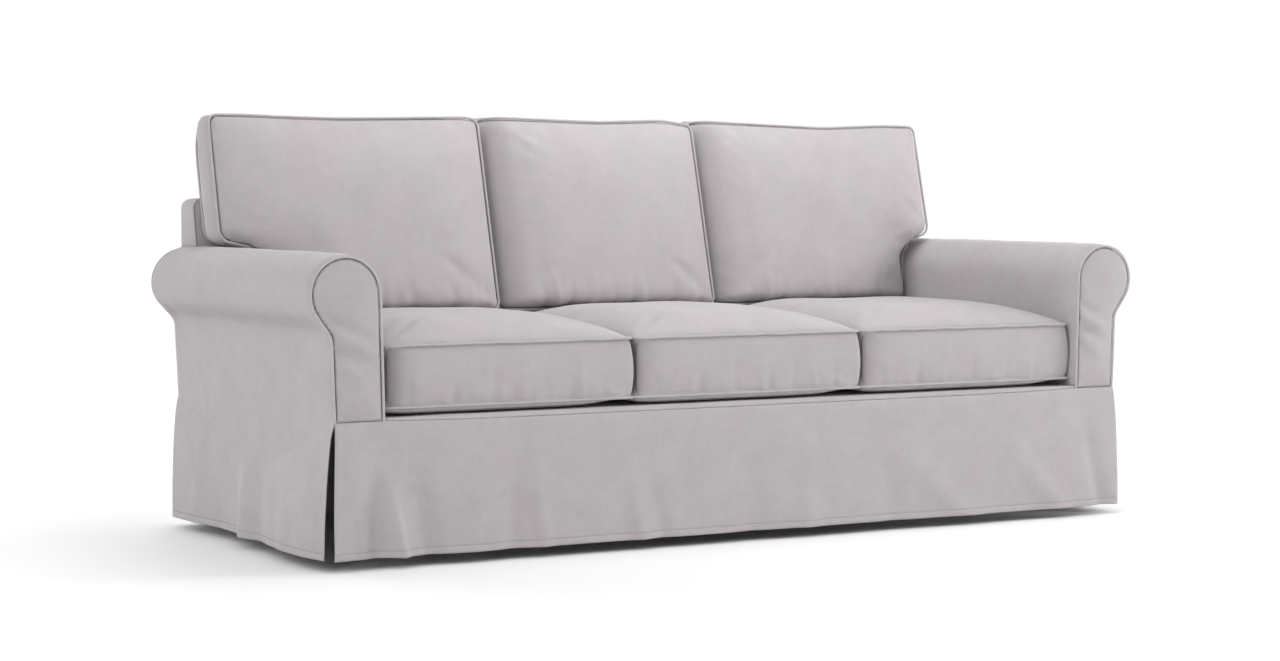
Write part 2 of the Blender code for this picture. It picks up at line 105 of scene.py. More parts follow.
camera = bpy.data.objects.new("camera", bpy.data.cameras.new("camera"))
camera.data.lens = CAMERA_LENS
camera.data.sensor_width = 36.0
camera.location = CAMERA_PLACE + datum
camera.rotation_euler = (math.radians(90 + CAMERA_PITCH), 0.0, math.radians(-CAMERA_YAW))
scene.collection.objects.link(camera)
scene.camera = camera

for name, (place, width, watts) in LAMPS.items():
    light = bpy.data.lights.new(name, "AREA")
    light.shape = "DISK"
    light.size = width
    light.energy = watts
    holder = bpy.data.objects.new(name, light)
    holder.location = Vector(place) + datum
    holder.rotation_euler = (LAMP_AIM - Vector(place)).to_track_quat("-Z", "Y").to_euler()
    scene.collection.objects.link(holder)

surround = bpy.data.worlds.new("surround")
surround.use_nodes = True
walls = surround.node_tree
direction = add_node(walls, "ShaderNodeTexCoord").outputs["Generated"]
parts = add_node(walls, "ShaderNodeSeparateXYZ", {"Vector": direction}).outputs
bearing = add_node(walls, "ShaderNodeMath", {0: parts["Y"], 1: parts["X"]}, operation="ARCTAN2")
turn = add_node(walls, "ShaderNodeMapRange", {
    "From Min": -math.pi, "From Max": math.pi, "Value": bearing.outputs["Value"]})
level = add_node(walls, "ShaderNodeValue").outputs["Value"]
level.default_value = ROOM_HORIZON
for height, steps in ROOM.items():
    ring = add_node(walls, "ShaderNodeValToRGB", {"Fac": turn.outputs["Result"]})
    ring.color_ramp.interpolation = "CONSTANT"
    ring.color_ramp.elements.remove(ring.color_ramp.elements[1])
    for number, (start, share) in enumerate(steps):
        place = (start + 180) / 360
        stop = ring.color_ramp.elements.new(place) if number else ring.color_ramp.elements[0]
        stop.color = (share, share, share, 1.0)
    above = add_node(walls, "ShaderNodeMath", {0: parts["Z"], 1: math.sin(math.radians(height))},
                     operation="GREATER_THAN").outputs["Value"]
    chosen = add_node(walls, "ShaderNodeMix", {"Factor": above, "A": level, "B": ring.outputs["Color"]})
    level = chosen.outputs["Result"]
feed(walls.nodes["Background"], {"Color": level, "Strength": ROOM_STRENGTH})
scene.world = surround
scene.view_settings.view_transform = "Standard"

floor_mesh = bpy.data.meshes.new("floor")
floor_corners = [(-1, -1), (1, -1), (1, 1), (-1, 1)]
floor_mesh.from_pydata([(FLOOR_HALF * x, FLOOR_HALF * y, hem - HEM_CLEARANCE) for x, y in floor_corners],
                       [], [(0, 1, 2, 3)])
floor = bpy.data.objects.new("floor", floor_mesh)
floor_paint = bpy.data.materials.new("floor_paint")
floor_paint.use_nodes = True
feed(floor_paint.node_tree.nodes["Principled BSDF"], {
    "Base Color": FLOOR_COLOUR, "Roughness": FLOOR_ROUGHNESS})
floor_mesh.materials.append(floor_paint)
scene.collection.objects.link(floor)


# SEAT DECK
# The platform under the seat cushions, one panel of the cover's cloth. It rolls over the front rail,
# where a finger's width of it shows, and is sewn to the skirt there.

CLOTH = 0.002
SEAT_HALF = 0.894  # from the middle to an arm's seat side
SEAM = 0.279  # height of the skirt's seam
SEAM_SAG = 0.005
DECK_TOP = 0.284
DECK_HALF = SEAT_HALF - 0.0026
DECK_BACK = 0.711
DECK_UNEVEN = 0.0004
DECK_ROLL_ROWS = 7
CLOTH_TONE = (0.437, 0.414, 0.419)
CLOTH_SHADE = (0.393, 0.371, 0.376)
SEAM_DARK = 0.88  # how far the painted seam shade darkens the cloth at most
SEAM_NARROW = 2.5  # the higher, the closer the painted shade keeps to the seam


def woven_cloth(name, tone, shade):
    """Plain-woven cloth: slubs in both threads, a cloudy tone with a faint blush, and a soft nap. A point
    attribute paints shade into the colour, darkening it along seams and in creases. Scales are waves to a
    metre of cloth."""
    material = bpy.data.materials.new(name)
    material.use_nodes = True
    tree = material.node_tree
    flat = add_node(tree, "ShaderNodeUVMap", uv_map="Cloth").outputs["UV"]

    def noise(across, along, detail, turned=0.0, shift=0.0):
        laid = add_node(tree, "ShaderNodeMapping", {
            "Scale": (across, along, 1.0), "Rotation": (0.0, 0.0, turned),
            "Location": (shift, shift, 0.0), "Vector": flat}).outputs["Vector"]
        return add_node(tree, "ShaderNodeTexNoise", {
            "Scale": 1.0, "Detail": detail, "Roughness": 0.55, "Vector": laid},
            noise_dimensions="2D").outputs["Fac"]

    def mixed(share, a, b):
        return add_node(tree, "ShaderNodeMix", {"Factor": share, "A": a, "B": b}).outputs["Result"]

    def stops(source, low, high, dark, light):
        ramp = add_node(tree, "ShaderNodeValToRGB", {"Fac": source})
        for stop, place, colour in zip(ramp.color_ramp.elements, (low, high), (dark, light)):
            stop.position = place
            stop.color = (*colour, 1.0)
        return ramp.outputs["Color"]

    yarns = mixed(0.5, noise(1150.0, 70.0, 2.0), noise(70.0, 1150.0, 2.0))
    patches = stops(noise(38.0, 38.0, 2.0, 0.6), 0.35, 0.65, (0.0, 0.0, 0.0), (1.0, 1.0, 1.0))
    slubs = mixed(patches, noise(210.0, 17.0, 3.0, 0.03), noise(17.0, 210.0, 3.0, 0.03))
    clouds = mixed(0.4, noise(13.0, 13.0, 4.0, 0.4), noise(46.0, 46.0, 3.0, 0.9, 3.0))
    tones = stops(mixed(0.16, mixed(0.26, clouds, slubs), yarns), 0.36, 0.64, shade, tone)
    blush = stops(noise(5.5, 5.5, 3.0, 1.1, 7.0), 0.42, 0.68, (1.0, 1.0, 1.0), (1.012, 0.986, 1.0))
    blushed = add_node(tree, "ShaderNodeVectorMath", {0: tones, 1: blush}, operation="MULTIPLY")
    # Painted shade: the colour is darkened where the point attribute is high, along seams and in creases
    seam_shade = add_node(tree, "ShaderNodeAttribute", attribute_name="Fold").outputs["Fac"]
    close = add_node(tree, "ShaderNodeMath", {0: seam_shade, 1: SEAM_NARROW}, operation="POWER").outputs["Value"]
    light = add_node(tree, "ShaderNodeMath", {0: close, 1: -SEAM_DARK, 2: 1.0}, operation="MULTIPLY_ADD")
    shaded = add_node(tree, "ShaderNodeVectorMath", {
        0: blushed.outputs["Vector"], "Scale": light.outputs["Value"]}, operation="SCALE")
    rough = add_node(tree, "ShaderNodeBump", {"Strength": 0.5, "Distance": 0.0008, "Height": slubs})
    fine = add_node(tree, "ShaderNodeBump", {
        "Strength": 0.5, "Distance": 0.0005, "Height": yarns, "Normal": rough.outputs["Normal"]})
    feed(tree.nodes["Principled BSDF"], {
        "Roughness": 0.93, "Specular IOR Level": 0.22, "Sheen Weight": 0.18, "Sheen Roughness": 0.45,
        "Base Color": shaded.outputs["Vector"], "Normal": fine.outputs["Normal"]})
    return material


def write(rows, kind, values):
    """Sets what each row of a mesh's data holds of this kind."""
    rows.foreach_set(kind, np.asarray(values, np.float32).ravel())


def corner_points(mesh):
    """The number of the point that each corner of the faces sits on."""
    points = np.empty(len(mesh.loops), np.int32)
    mesh.loops.foreach_get("vertex_index", points)
    return points


def cloth_object(name, points, faces, flat, material):
    """A mesh of cloth. flat holds each point's place on the cut cloth, for the weave to follow."""
    mesh = bpy.data.meshes.new(name)
    mesh.from_pydata((np.asarray(points) + np.array(datum)).tolist(), [], faces.tolist())
    layer = mesh.uv_layers.new(name="Cloth")
    write(layer.data, "uv", flat[corner_points(mesh)])
    mesh.shade_smooth()
    mesh.materials.append(material)
    obj = bpy.data.objects.new(name, mesh)
    scene.collection.objects.link(obj)
    return obj


def give_ply(obj):
    """Gives a panel its cloth's thickness, inwards from the outer face."""
    ply = obj.modifiers.new("Ply", "SOLIDIFY")
    ply.thickness = CLOTH
    ply.offset = -1.0


def flat_of(grid):
    """Place on the cut cloth of each point of a grid, measured along its rows and columns."""
    across = np.linalg.norm(np.diff(grid, axis=1), axis=2).mean(axis=0)
    along = np.linalg.norm(np.diff(grid, axis=0), axis=2).mean(axis=1)
    u = np.concatenate([[0.0], np.cumsum(across)])
    v = np.concatenate([[0.0], np.cumsum(along)])
    return np.stack(np.meshgrid(u, v), axis=2)


def cloth_sheet(name, grid, flip=False):
    """One ply of the cover's cloth over a grid of points on its outer face."""
    rows, columns = grid.shape[:2]
    corner = np.arange(rows * columns).reshape(rows, columns)
    faces = np.stack([corner[:-1, :-1], corner[:-1, 1:], corner[1:, 1:], corner[1:, :-1]], axis=2)
    faces = faces.reshape(-1, 4)
    if flip:
        faces = faces[:, ::-1]
    obj = cloth_object(name, grid.reshape(-1, 3), faces, flat_of(grid).reshape(-1, 2), cover_cloth)
    give_ply(obj)
    return obj


def ripple(a, b, length, seed):
    """Soft unevenness of cloth, about -1 to 1, with waves of about this length."""
    chance = np.random.default_rng(seed)
    total = np.zeros(np.broadcast(a, b).shape)
    for _ in range(7):
        angle, phase = chance.uniform(0, 2 * math.pi, 2)
        wave = length * chance.uniform(0.7, 1.6)
        total += np.sin(2 * math.pi * (a * math.cos(angle) + b * math.sin(angle)) / wave + phase)
    return total / 4


def seam_height(x):
    """The skirt's seam, level under the arm fronts and a little lower in front of the seat."""
    share = np.minimum(np.abs(x) / SEAT_HALF, 1.0)
    return SEAM - SEAM_SAG * (1 - share**6)


cover_cloth = woven_cloth("cover_cloth", CLOTH_TONE, CLOTH_SHADE)

deck_x = np.linspace(-DECK_HALF, DECK_HALF, 241)
deck_rows = []
for turn in np.linspace(0.0, math.pi / 2, DECK_ROLL_ROWS):
    seam = seam_height(deck_x)
    drop = DECK_TOP - seam
    deck_rows.append(np.stack([deck_x, drop * (1 - math.cos(turn)), seam + drop * math.sin(turn)], axis=1))
for y in np.concatenate([np.linspace(0.016, 0.10, 8), np.linspace(0.13, DECK_BACK, 20)]):
    deck_rows.append(np.stack([deck_x, np.full_like(deck_x, y), np.full_like(deck_x, DECK_TOP)], axis=1))
deck_grid = np.array(deck_rows)
deck_flat = deck_grid[DECK_ROLL_ROWS:]
deck_flat[:, :, 2] += DECK_UNEVEN * (ripple(deck_flat[:, :, 0], deck_flat[:, :, 1], 0.14, 3) - 1)
seat_deck = cloth_sheet("seat_deck_cloth", deck_grid)
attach(seat_deck, "root")
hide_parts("seat_deck")


# ARM COVERS
# Each is one piece of cloth: up the seat side, over the roll, in under it to a soft crease, and down the
# outside to the hem. It is pulled tight at the front welt and hangs free below the skirt's seam.

SIDES = {"left": -1, "right": 1}
GAP = 0.0003  # between sewn pieces
ARM_THICK = 0.110  # at the skirt's seam
DEPTH = 0.873  # from the arms' fronts to the outside back
ROLL_INNER = 0.900  # across to the roll's seat side
ROLL_RADIUS = 0.0775
ROLL_CENTRE = 0.5365
ROLL_UNDERCUT = math.radians(35)
ROLL_SPREAD = 0.009  # how much fuller, in radius, the roll is at the back
ROLL_FULLNESS = 0.0065
ROLL_CREASE = 0.0130
CREASE_HEIGHT = 0.468
WAIST = 0.450  # height where the outer side turns in under the roll
WAIST_OUT = 0.006  # how far it stands out there past the seam below
WAIST_SPREAD = 0.009  # how much further out it stands at the back, there and at the seam
SEAM_SPREAD = 0.0067
SLIT_FRONT = 0.008  # how far a slit's edge stands away from the corner at the hem
SLIT_BACK = 0.006
HEM_STITCH = 0.0145  # height of the hem's line of stitches
HEM_ROWS = [0.0190, 0.0175, 0.0163, 0.0154, 0.0145, 0.0136, 0.0127, 0.0095, 0.0045, 0.0]
ARM_ROWS = 120
ARM_PITCH = 0.0075  # between points round the arm
ARM_ROUND = 0.665  # way round the arm above the seam
OUTER_SHARE = 0.62  # of the points round it: where the outer side begins
REAR_EDGE = DEPTH - CLOTH - GAP
SIDE_HANG = [  # depth, how far out the hem stands there, and the height at which it begins to
    (0.000, 0.019, 0.279), (0.090, 0.033, 0.250), (0.200, 0.034, 0.210), (0.285, 0.024, 0.180),
    (0.360, 0.010, 0.165), (0.405, 0.022, 0.165), (0.450, 0.032, 0.165), (0.495, 0.006, 0.165),
    (0.560, 0.003, 0.190), (0.680, 0.008, 0.230), (0.790, 0.018, 0.265), (0.873, 0.020, 0.279),
]
# Here and below, a crease is a soft ridge (or a trough, if it rises below 0) that is strongest at its
# start and runs out at its end: the places of both, its width and its rise
SIDE_CREASES = [  # depth and height on the outer side
    (0.015, 0.425, 0.120, 0.395, 0.012, -0.0012),
    (0.860, 0.440, 0.740, 0.400, 0.016, -0.0015),
    (0.870, 0.350, 0.780, 0.240, 0.020, 0.0018),
    (0.060, 0.010, 0.075, 0.200, 0.028, 0.0030),
    (0.250, 0.000, 0.235, 0.190, 0.030, -0.0030),
    (0.610, 0.000, 0.630, 0.210, 0.035, -0.0035),
    (0.730, 0.000, 0.720, 0.240, 0.030, 0.0035),
]


def paint_seam_shade(obj, amounts):
    """Painted shade for each point of the cloth, 0 to 1, standing in for the shade along seams and in
    creases.
    """
    write(obj.data.attributes.new("Fold", "FLOAT", "POINT").data, "value", amounts)


def grid_normals(grid, flip=False):
    """Outward unit normals of a grid of points."""
    normals = np.cross(np.gradient(grid, axis=1), np.gradient(grid, axis=0))
    normals /= np.linalg.norm(normals, axis=2, keepdims=True) + 1e-12
    return -normals if flip else normals


def dip(distance, width):
    """1 at a seam or crease, falling off softly over this width on both sides."""
    return np.exp(-((distance / width) ** 2))


def creases(table, a, b):
    """Height of these creases at each place."""
    total = np.zeros(np.broadcast(a, b).shape)
    for start_a, start_b, end_a, end_b, width, rise in table:
        run_a, run_b = end_a - start_a, end_b - start_b
        length = math.hypot(run_a, run_b)
        share = ((a - start_a) * run_a + (b - start_b) * run_b) / length**2
        off = ((a - start_a) * run_b - (b - start_b) * run_a) / length
        ahead = np.cos(math.pi / 2 * np.clip(share, 0, 1)) ** 1.5
        total += rise * dip(off, width) * np.where(share < 0, dip(share, 0.12), ahead)
    return total


def smooth_curve(places, values, sigma=0.012):
    """The values between these places as a function, its corners softened."""
    fine = np.linspace(places[0], places[-1], 600)
    step = fine[1] - fine[0]
    reach = int(3 * sigma / step) + 1
    weights = np.exp(-0.5 * (np.arange(-reach, reach + 1) * step / sigma) ** 2)
    padded = np.pad(np.interp(fine, places, values), reach, mode="edge")
    soft = np.convolve(padded, weights / weights.sum(), mode="valid")
    return lambda place: np.interp(place, fine, soft)


def hang(share):
    """How much of its flare a hanging cloth has reached, from 0 at the seam to 1 at the hem."""
    return np.sin(math.pi / 2 * np.clip(share, 0.0, 1.0)) ** 0.55


def side_out(y, z):
    """How far out the arm's outer side stands at and above the skirt's seam."""
    share = y / DEPTH
    at_seam = SEAT_HALF + ARM_THICK + SEAM_SPREAD * share
    at_waist = SEAT_HALF + ARM_THICK + WAIST_OUT + WAIST_SPREAD * share
    return at_seam + (at_waist - at_seam) * np.clip((z - SEAM) / (WAIST - SEAM), 0.0, 1.0)


def roll_half(y):
    """Half the roll's width at this depth."""
    return ROLL_RADIUS + ROLL_SPREAD * y / DEPTH


def arm_section(y):
    """Across and up, an arm's face above the seam at this depth, from the seat side over the roll."""
    half = roll_half(y)
    angles = np.linspace(math.pi, -ROLL_UNDERCUT, 60)
    roll = np.stack([ROLL_INNER + half + half * np.cos(angles), ROLL_CENTRE + ROLL_RADIUS * np.sin(angles)],
                    axis=1)
    side = [(side_out(y, z), z) for z in (WAIST, WAIST - 0.03, SEAM)]
    return np.vstack([[(SEAT_HALF, SEAM)], roll, side])


def way_along(path):
    """How far along a path each of its points lies."""
    return np.concatenate([[0.0], np.cumsum(np.linalg.norm(np.diff(path, axis=0), axis=1))])


def arm_outline(y, pitch=ARM_PITCH):
    """The same with evenly spaced points: as many at every depth."""
    path = arm_section(y)
    along = way_along(path)
    places = np.linspace(0.0, along[-1], round(ARM_ROUND / pitch) + 1)
    points = np.stack([np.interp(places, along, path[:, k]) for k in (0, 1)], axis=1)
    for _ in range(3):
        points[1:-1] = (points[:-2] + 2 * points[1:-1] + points[2:]) / 4
    return points


def hem_band(z):
    """A hem's second ply makes it a little fuller, and its stitches draw it in."""
    return 0.0007 * (z < HEM_STITCH) - 0.0009 * dip(z - HEM_STITCH, 0.0016)


def hem_heights(top, pitch):
    """Heights from a seam down to the hem, closer together at the hem's stitches."""
    return np.concatenate([np.linspace(top, 0.022, round(top / pitch)), HEM_ROWS])


hang_depths, hang_outs, hang_reaches = zip(*SIDE_HANG)
hang_out = smooth_curve(hang_depths, hang_outs)
hang_reach = smooth_curve(hang_depths, hang_reaches, 0.03)
upper_count = len(arm_outline(0.0))
hanging = hem_heights(SEAM, 0.0085)[1:]
is_outer = np.arange(upper_count + len(hanging)) >= upper_count * OUTER_SHARE


def arm_grid(side):
    """Points of an arm's cover, a row for each depth."""
    near_welt = [0.0, 0.002, 0.005, 0.009, 0.014, 0.020, 0.027]
    drop = 1 - hanging / SEAM
    rows = []
    for depth in np.concatenate([near_welt, np.linspace(0.035, DEPTH, ARM_ROWS)]):
        share = depth / DEPTH
        y = ARM_EDGE + (REAR_EDGE - ARM_EDGE) * share
        row = [(side * x, y, z) for x, z in arm_outline(depth)]
        x = side_out(depth, hanging) + hang_out(depth) * hang(1 - hanging / hang_reach(depth))
        low_y = (ARM_EDGE + SLIT_FRONT * drop) * (1 - share) + (REAR_EDGE - SLIT_BACK * drop) * share
        rows.append(row + list(zip(side * x, low_y, hanging)))
    grid = np.array(rows)
    y, z = grid[..., 1], grid[..., 2]
    around = flat_of(grid)[..., 0]
    from_welt = y - ARM_EDGE
    # Pulled down beside the front welt, with small puckers along the seam, and full over the roll
    lift = -0.0030 * dip(from_welt, 0.010) - 0.0016 * dip(from_welt, 0.034) * is_outer
    lift *= np.clip((z - SEAM + 0.03) / 0.05, 0.0, 1.0)
    over_roll = np.clip((z - ROLL_CENTRE) / ROLL_RADIUS, 0.0, 1.0) ** 1.5
    lift += ROLL_FULLNESS * (1 - np.exp(-from_welt / 0.016)) * over_roll
    # The crease where the roll turns in
    uneven = 0.85 + 0.15 * ripple(y, y * 0, 0.30, 25 + side)
    deep = ROLL_CREASE * (1 - np.exp(-from_welt / 0.030)) * uneven
    lift -= is_outer * deep * dip(z - CREASE_HEIGHT, 0.015)
    pucker = ripple(around, around * 0, 0.034, 21 + side) * np.exp(-from_welt / 0.022)
    lift += 0.0007 * pucker * (z > SEAM)
    lift += 0.0007 * ripple(y, around, 0.20, 11 + side) + 0.0003 * ripple(y, around, 0.07, 15 + side)
    lift += is_outer * (creases(SIDE_CREASES, y, z) + hem_band(z))
    # Held at the back seam
    lift *= np.clip((REAR_EDGE - y) / 0.02, 0.0, 1.0)
    return grid + grid_normals(grid, flip=side < 0) * lift[..., None]


arm_grids = {name: arm_grid(side) for name, side in SIDES.items()}
for name, grid in arm_grids.items():
    cover = cloth_sheet(f"arm_cover_{name}_cloth", grid, flip=name == "left")
    from_welt, height = grid[..., 1] - ARM_EDGE, grid[..., 2]
    # Painted shade on the cloth beside the front welt, and in the crease under the roll
    shade_at_welt = np.interp(from_welt, (0.0, 0.002, 0.006), (1.0, 0.45, 0.0)) * (height > SEAM)
    shade_under_roll = 0.45 * dip(height - CREASE_HEIGHT, 0.013) * (1 - np.exp(-from_welt / 0.04))
    paint_seam_shade(cover, np.maximum(shade_at_welt, shade_under_roll * is_outer))
    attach(cover, "root")
    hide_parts(f"arm_cover_{name}")


# ARM FRONTS
# A scroll of the same cloth at each arm's front, cut to the arm's outline and a little padded. Each is
# sewn in with a covered cord, and pulled into soft slanting dents where the arm narrows.

SCROLL_PITCH = 0.005
PANEL_PITCH = 0.006
ARM_PAD = 0.0095
FRONT_DENTS = [  # across from the outer edge and up, on the left arm
    (-0.010, 0.490, 0.105, 0.431, 0.010, -0.0080),
    (0.005, 0.453, 0.105, 0.406, 0.009, 0.0060),
    (-0.005, 0.430, 0.110, 0.378, 0.010, -0.0085),
    (0.020, 0.390, 0.085, 0.345, 0.010, 0.0055),
    (0.000, 0.365, 0.060, 0.330, 0.014, -0.0040),
    (0.110, 0.500, 0.060, 0.470, 0.014, 0.0026),
]


def inside(points, outline):
    """Which points lie inside a closed outline."""
    x, y = points[:, 0][:, None], points[:, 1][:, None]
    x0, y0 = outline[:, 0][None, :], outline[:, 1][None, :]
    x1, y1 = np.roll(outline[:, 0], -1)[None, :], np.roll(outline[:, 1], -1)[None, :]
    spans = (y0 > y) != (y1 > y)
    crossing = x0 + (y - y0) / np.where(y1 == y0, 1e-12, y1 - y0) * (x1 - x0)
    return (spans & (x < crossing)).sum(axis=1) % 2 == 1


def onto_outline(points, outline):
    """For each point, the nearest place on every stretch of an outline, and how far off that is."""
    runs = np.roll(outline, -1, axis=0) - outline
    share = ((points[:, None] - outline) * runs).sum(axis=2) / ((runs**2).sum(axis=1) + 1e-15)
    nearest = outline + np.clip(share, 0, 1)[..., None] * runs
    return nearest, np.linalg.norm(nearest - points[:, None], axis=2)


def edge_distance(points, outline):
    """How far each point lies from an outline."""
    return onto_outline(points, outline)[1].min(axis=1)


def panel_grid(outline, pitch):
    """A panel cut to a closed outline, as square cells drawn to its edge: points, faces and edge loop."""
    low, high = outline.min(axis=0), outline.max(axis=0)
    counts = np.maximum(np.round((high - low) / pitch).astype(int), 2)
    steps = (high - low) / counts
    i, j = np.meshgrid(np.arange(counts[0]), np.arange(counts[1]), indexing="ij")
    cells = np.stack([i.ravel(), j.ravel()], axis=1)
    cells = cells[inside(low + (cells + 0.5) * steps, outline)]
    corners = [(cells[:, 0] + di) * (counts[1] + 1) + cells[:, 1] + dj
               for di, dj in ((0, 0), (1, 0), (1, 1), (0, 1))]
    faces = np.stack(corners, axis=1)
    used, faces = np.unique(faces, return_inverse=True)
    faces = faces.reshape(-1, 4)
    points = low + np.stack(np.divmod(used, counts[1] + 1), axis=1) * steps
    edges = np.concatenate([faces[:, [k, (k + 1) % 4]] for k in range(4)])
    pairs = set(map(tuple, edges.tolist()))
    follow = {a: b for a, b in pairs if (b, a) not in pairs}
    loop = [min(follow)]
    while follow[loop[-1]] != loop[0]:
        loop.append(follow[loop[-1]])
    loop = np.array(loop)
    # The edge is drawn to the outline, and the cells inside are evened out
    nearest, distances = onto_outline(points[loop], outline)
    points[loop] = nearest[np.arange(len(loop)), distances.argmin(axis=1)]
    fixed = np.isin(np.arange(len(points)), loop)[:, None]
    a, b = np.concatenate([edges, edges[:, ::-1]]).T
    degree = np.bincount(a, minlength=len(points))[:, None]
    for _ in range(60):
        mean = np.stack([np.bincount(a, points[b, k], len(points)) for k in (0, 1)], axis=1) / degree
        points = np.where(fixed, points, mean)
    return points, faces, loop


def outline_normals(path, closed):
    """Unit normals of a path, to the right of its direction."""
    along = np.roll(path, -1, axis=0) - np.roll(path, 1, axis=0) if closed else np.gradient(path, axis=0)
    along /= np.linalg.norm(along, axis=1, keepdims=True)
    return np.stack([along[:, 1], -along[:, 0]], axis=1)


scroll = arm_outline(0.0, SCROLL_PITCH)
scroll_normals = outline_normals(scroll, False)
inner_scroll = scroll + scroll_normals * ARM_EDGE
inner_scroll[:, 1] = np.maximum(inner_scroll[:, 1], SEAM)
panel_points, panel_faces, _ = panel_grid(inner_scroll, PANEL_PITCH)
x, z = panel_points.T
depth_in = edge_distance(panel_points, inner_scroll)
off_edge = np.clip(depth_in / 0.012, 0.0, 1.0)
for name, side in SIDES.items():
    pad = ARM_PAD * (1 - np.exp(-depth_in / 0.030)) - 0.0022 * dip(depth_in, 0.0035)
    pad = pad * np.clip((z - SEAM) / 0.02, 0.15, 1.0)
    across = (x - SEAT_HALF) if side > 0 else (SEAT_HALF + ARM_THICK - x)
    pad += creases(FRONT_DENTS, across, z) * off_edge
    pad += 0.0004 * ripple(x, z, 0.09, 31 + side) * off_edge
    points = np.stack([side * x, -pad, z], axis=1)
    panel = cloth_object(f"arm_front_{name}_cloth", points, panel_faces[:, ::side], panel_points, cover_cloth)
    # Painted shade at the panel's edge, beside its welt
    paint_seam_shade(panel, 0.9 * (depth_in < 0.001) * (z > SEAM + 0.001))
    give_ply(panel)
    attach(panel, "root")
    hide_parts(f"arm_front_{name}")


# ARM WELTS
# A cord in a bias strip of the cloth, sewn into the seam round each arm's front. It runs from the skirt's
# seam up the outer side, round the roll and down the seat side.

WELT = 0.003
WELT_SINK = 0.001
WELT_SHADE_SIDE = (0.75, 0.10, 0.65)  # the side of the cord that is given painted shade, towards where its strip is drawn tightest into the seam
WELT_TONE = (0.475, 0.450, 0.456)
WELT_SHADE = (0.425, 0.402, 0.407)


def read(rows, kind, width=3):
    """What each row of a mesh's data holds of this kind."""
    values = np.empty(len(rows) * width, np.float32)
    rows.foreach_get(kind, values)
    return values.reshape(-1, width).astype(float)


def new_nodes(name, sockets):
    """A tree of geometry nodes with a path and these as its inputs: the tree, and its inputs as given."""
    tree = bpy.data.node_groups.new(name, "GeometryNodeTree")
    for label, kind in {"Path": "Geometry", **sockets}.items():
        tree.interface.new_socket(label, in_out="INPUT", socket_type="NodeSocket" + kind)
    tree.interface.new_socket("Made", in_out="OUTPUT", socket_type="NodeSocketGeometry")
    return tree, tree.nodes.new("NodeGroupInput").outputs


def finish_nodes(tree, geometry, material):
    """Ends a tree: its geometry made real, in this material."""
    whole = add_node(tree, "GeometryNodeRealizeInstances", {"Geometry": geometry}).outputs["Geometry"]
    dressed = add_node(tree, "GeometryNodeSetMaterial", {"Geometry": whole, "Material": material})
    add_node(tree, "NodeGroupOutput", {"Made": dressed.outputs["Geometry"]})
    return tree


def cord_nodes():
    """Covered cord along a path: a round tube whose weave runs with it."""
    tree, given = new_nodes("Covered cord", {"Cord radius": "Float", "Sides": "Int", "Strip": "Material"})
    ring = add_node(tree, "GeometryNodeCurvePrimitiveCircle", {
        "Resolution": given["Sides"], "Radius": given["Cord radius"]})
    kept = {}
    for way, curve in (("Along", given["Path"]), ("Around", ring.outputs["Curve"])):
        length = add_node(tree, "GeometryNodeSplineParameter").outputs["Length"]
        kept[way] = tree.nodes.new("GeometryNodeCaptureAttribute")
        kept[way].capture_items.new("FLOAT", way)
        feed(kept[way], {"Geometry": curve, way: length})
    tube = add_node(tree, "GeometryNodeCurveToMesh", {
        "Fill Caps": True, "Curve": kept["Along"].outputs["Geometry"],
        "Profile Curve": kept["Around"].outputs["Geometry"]})
    place = add_node(tree, "ShaderNodeCombineXYZ", {
        "X": kept["Along"].outputs["Along"], "Y": kept["Around"].outputs["Around"]})
    flat = add_node(tree, "GeometryNodeStoreNamedAttribute", {
        "Name": "Cloth", "Geometry": tube.outputs["Mesh"], "Value": place.outputs["Vector"]},
        data_type="FLOAT2", domain="CORNER")
    smooth = add_node(tree, "GeometryNodeSetShadeSmooth", {"Geometry": flat.outputs["Geometry"]})
    return finish_nodes(tree, smooth.outputs["Geometry"], given["Strip"])


def along_path(name, points, closed, tree, inputs):
    """The mesh that a tree of geometry nodes makes along a path of points."""
    curve = bpy.data.curves.new(name, "CURVE")
    curve.dimensions = "3D"
    spline = curve.splines.new("POLY")
    points = np.asarray(points) + np.array(datum)
    spline.points.add(len(points) - 1)
    spline.points.foreach_set("co", np.hstack([points, np.ones((len(points), 1))]).ravel())
    spline.use_cyclic_u = closed
    path = bpy.data.objects.new(name + "_path", curve)
    scene.collection.objects.link(path)
    maker = path.modifiers.new("Maker", "NODES")
    maker.node_group = tree
    for item in tree.interface.items_tree:
        if item.in_out == "INPUT" and item.name in inputs:
            maker[item.identifier] = inputs[item.name]
    bpy.context.view_layer.update()
    graph = bpy.context.evaluated_depsgraph_get()
    mesh = bpy.data.meshes.new_from_object(path.evaluated_get(graph), depsgraph=graph)
    mesh.name = name
    bpy.data.objects.remove(path)
    obj = bpy.data.objects.new(name, mesh)
    scene.collection.objects.link(obj)
    return obj


welt_cloth = woven_cloth("welt_cloth", WELT_TONE, WELT_SHADE)
covered_cord = cord_nodes()


def sew_welt(node, points, closed, shade=0.75):
    """A welt along these points, in place of the node's plain one, with painted shade on one side of its
    cord.
    """
    welt = along_path(f"{node}_cord", points, closed, covered_cord, {
        "Cord radius": WELT, "Sides": 10, "Strip": welt_cloth})
    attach(welt, "root")
    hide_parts(node)
    # Painted shade on the side of the cord that faces WELT_SHADE_SIDE
    normals = read(welt.data.vertices, "normal")
    paint_seam_shade(welt, shade * np.clip(normals @ WELT_SHADE_SIDE, 0, 1))


for name, side in SIDES.items():
    centre = scroll + scroll_normals * WELT_SINK
    wobble = 0.0004 * ripple(np.arange(len(scroll)) * SCROLL_PITCH, 0.0, 0.05, 41 + side)
    cord = np.stack([side * centre[:, 0], WELT_SINK + wobble, centre[:, 1]], axis=1)
    sew_welt(f"arm_welt_{name}", cord, False)


# FRONT SKIRT
# One panel from corner to corner, sewn along its top, open at the corners' slits and hemmed with one
# line of stitches. It hangs in broad soft folds, most of them near the left arm.

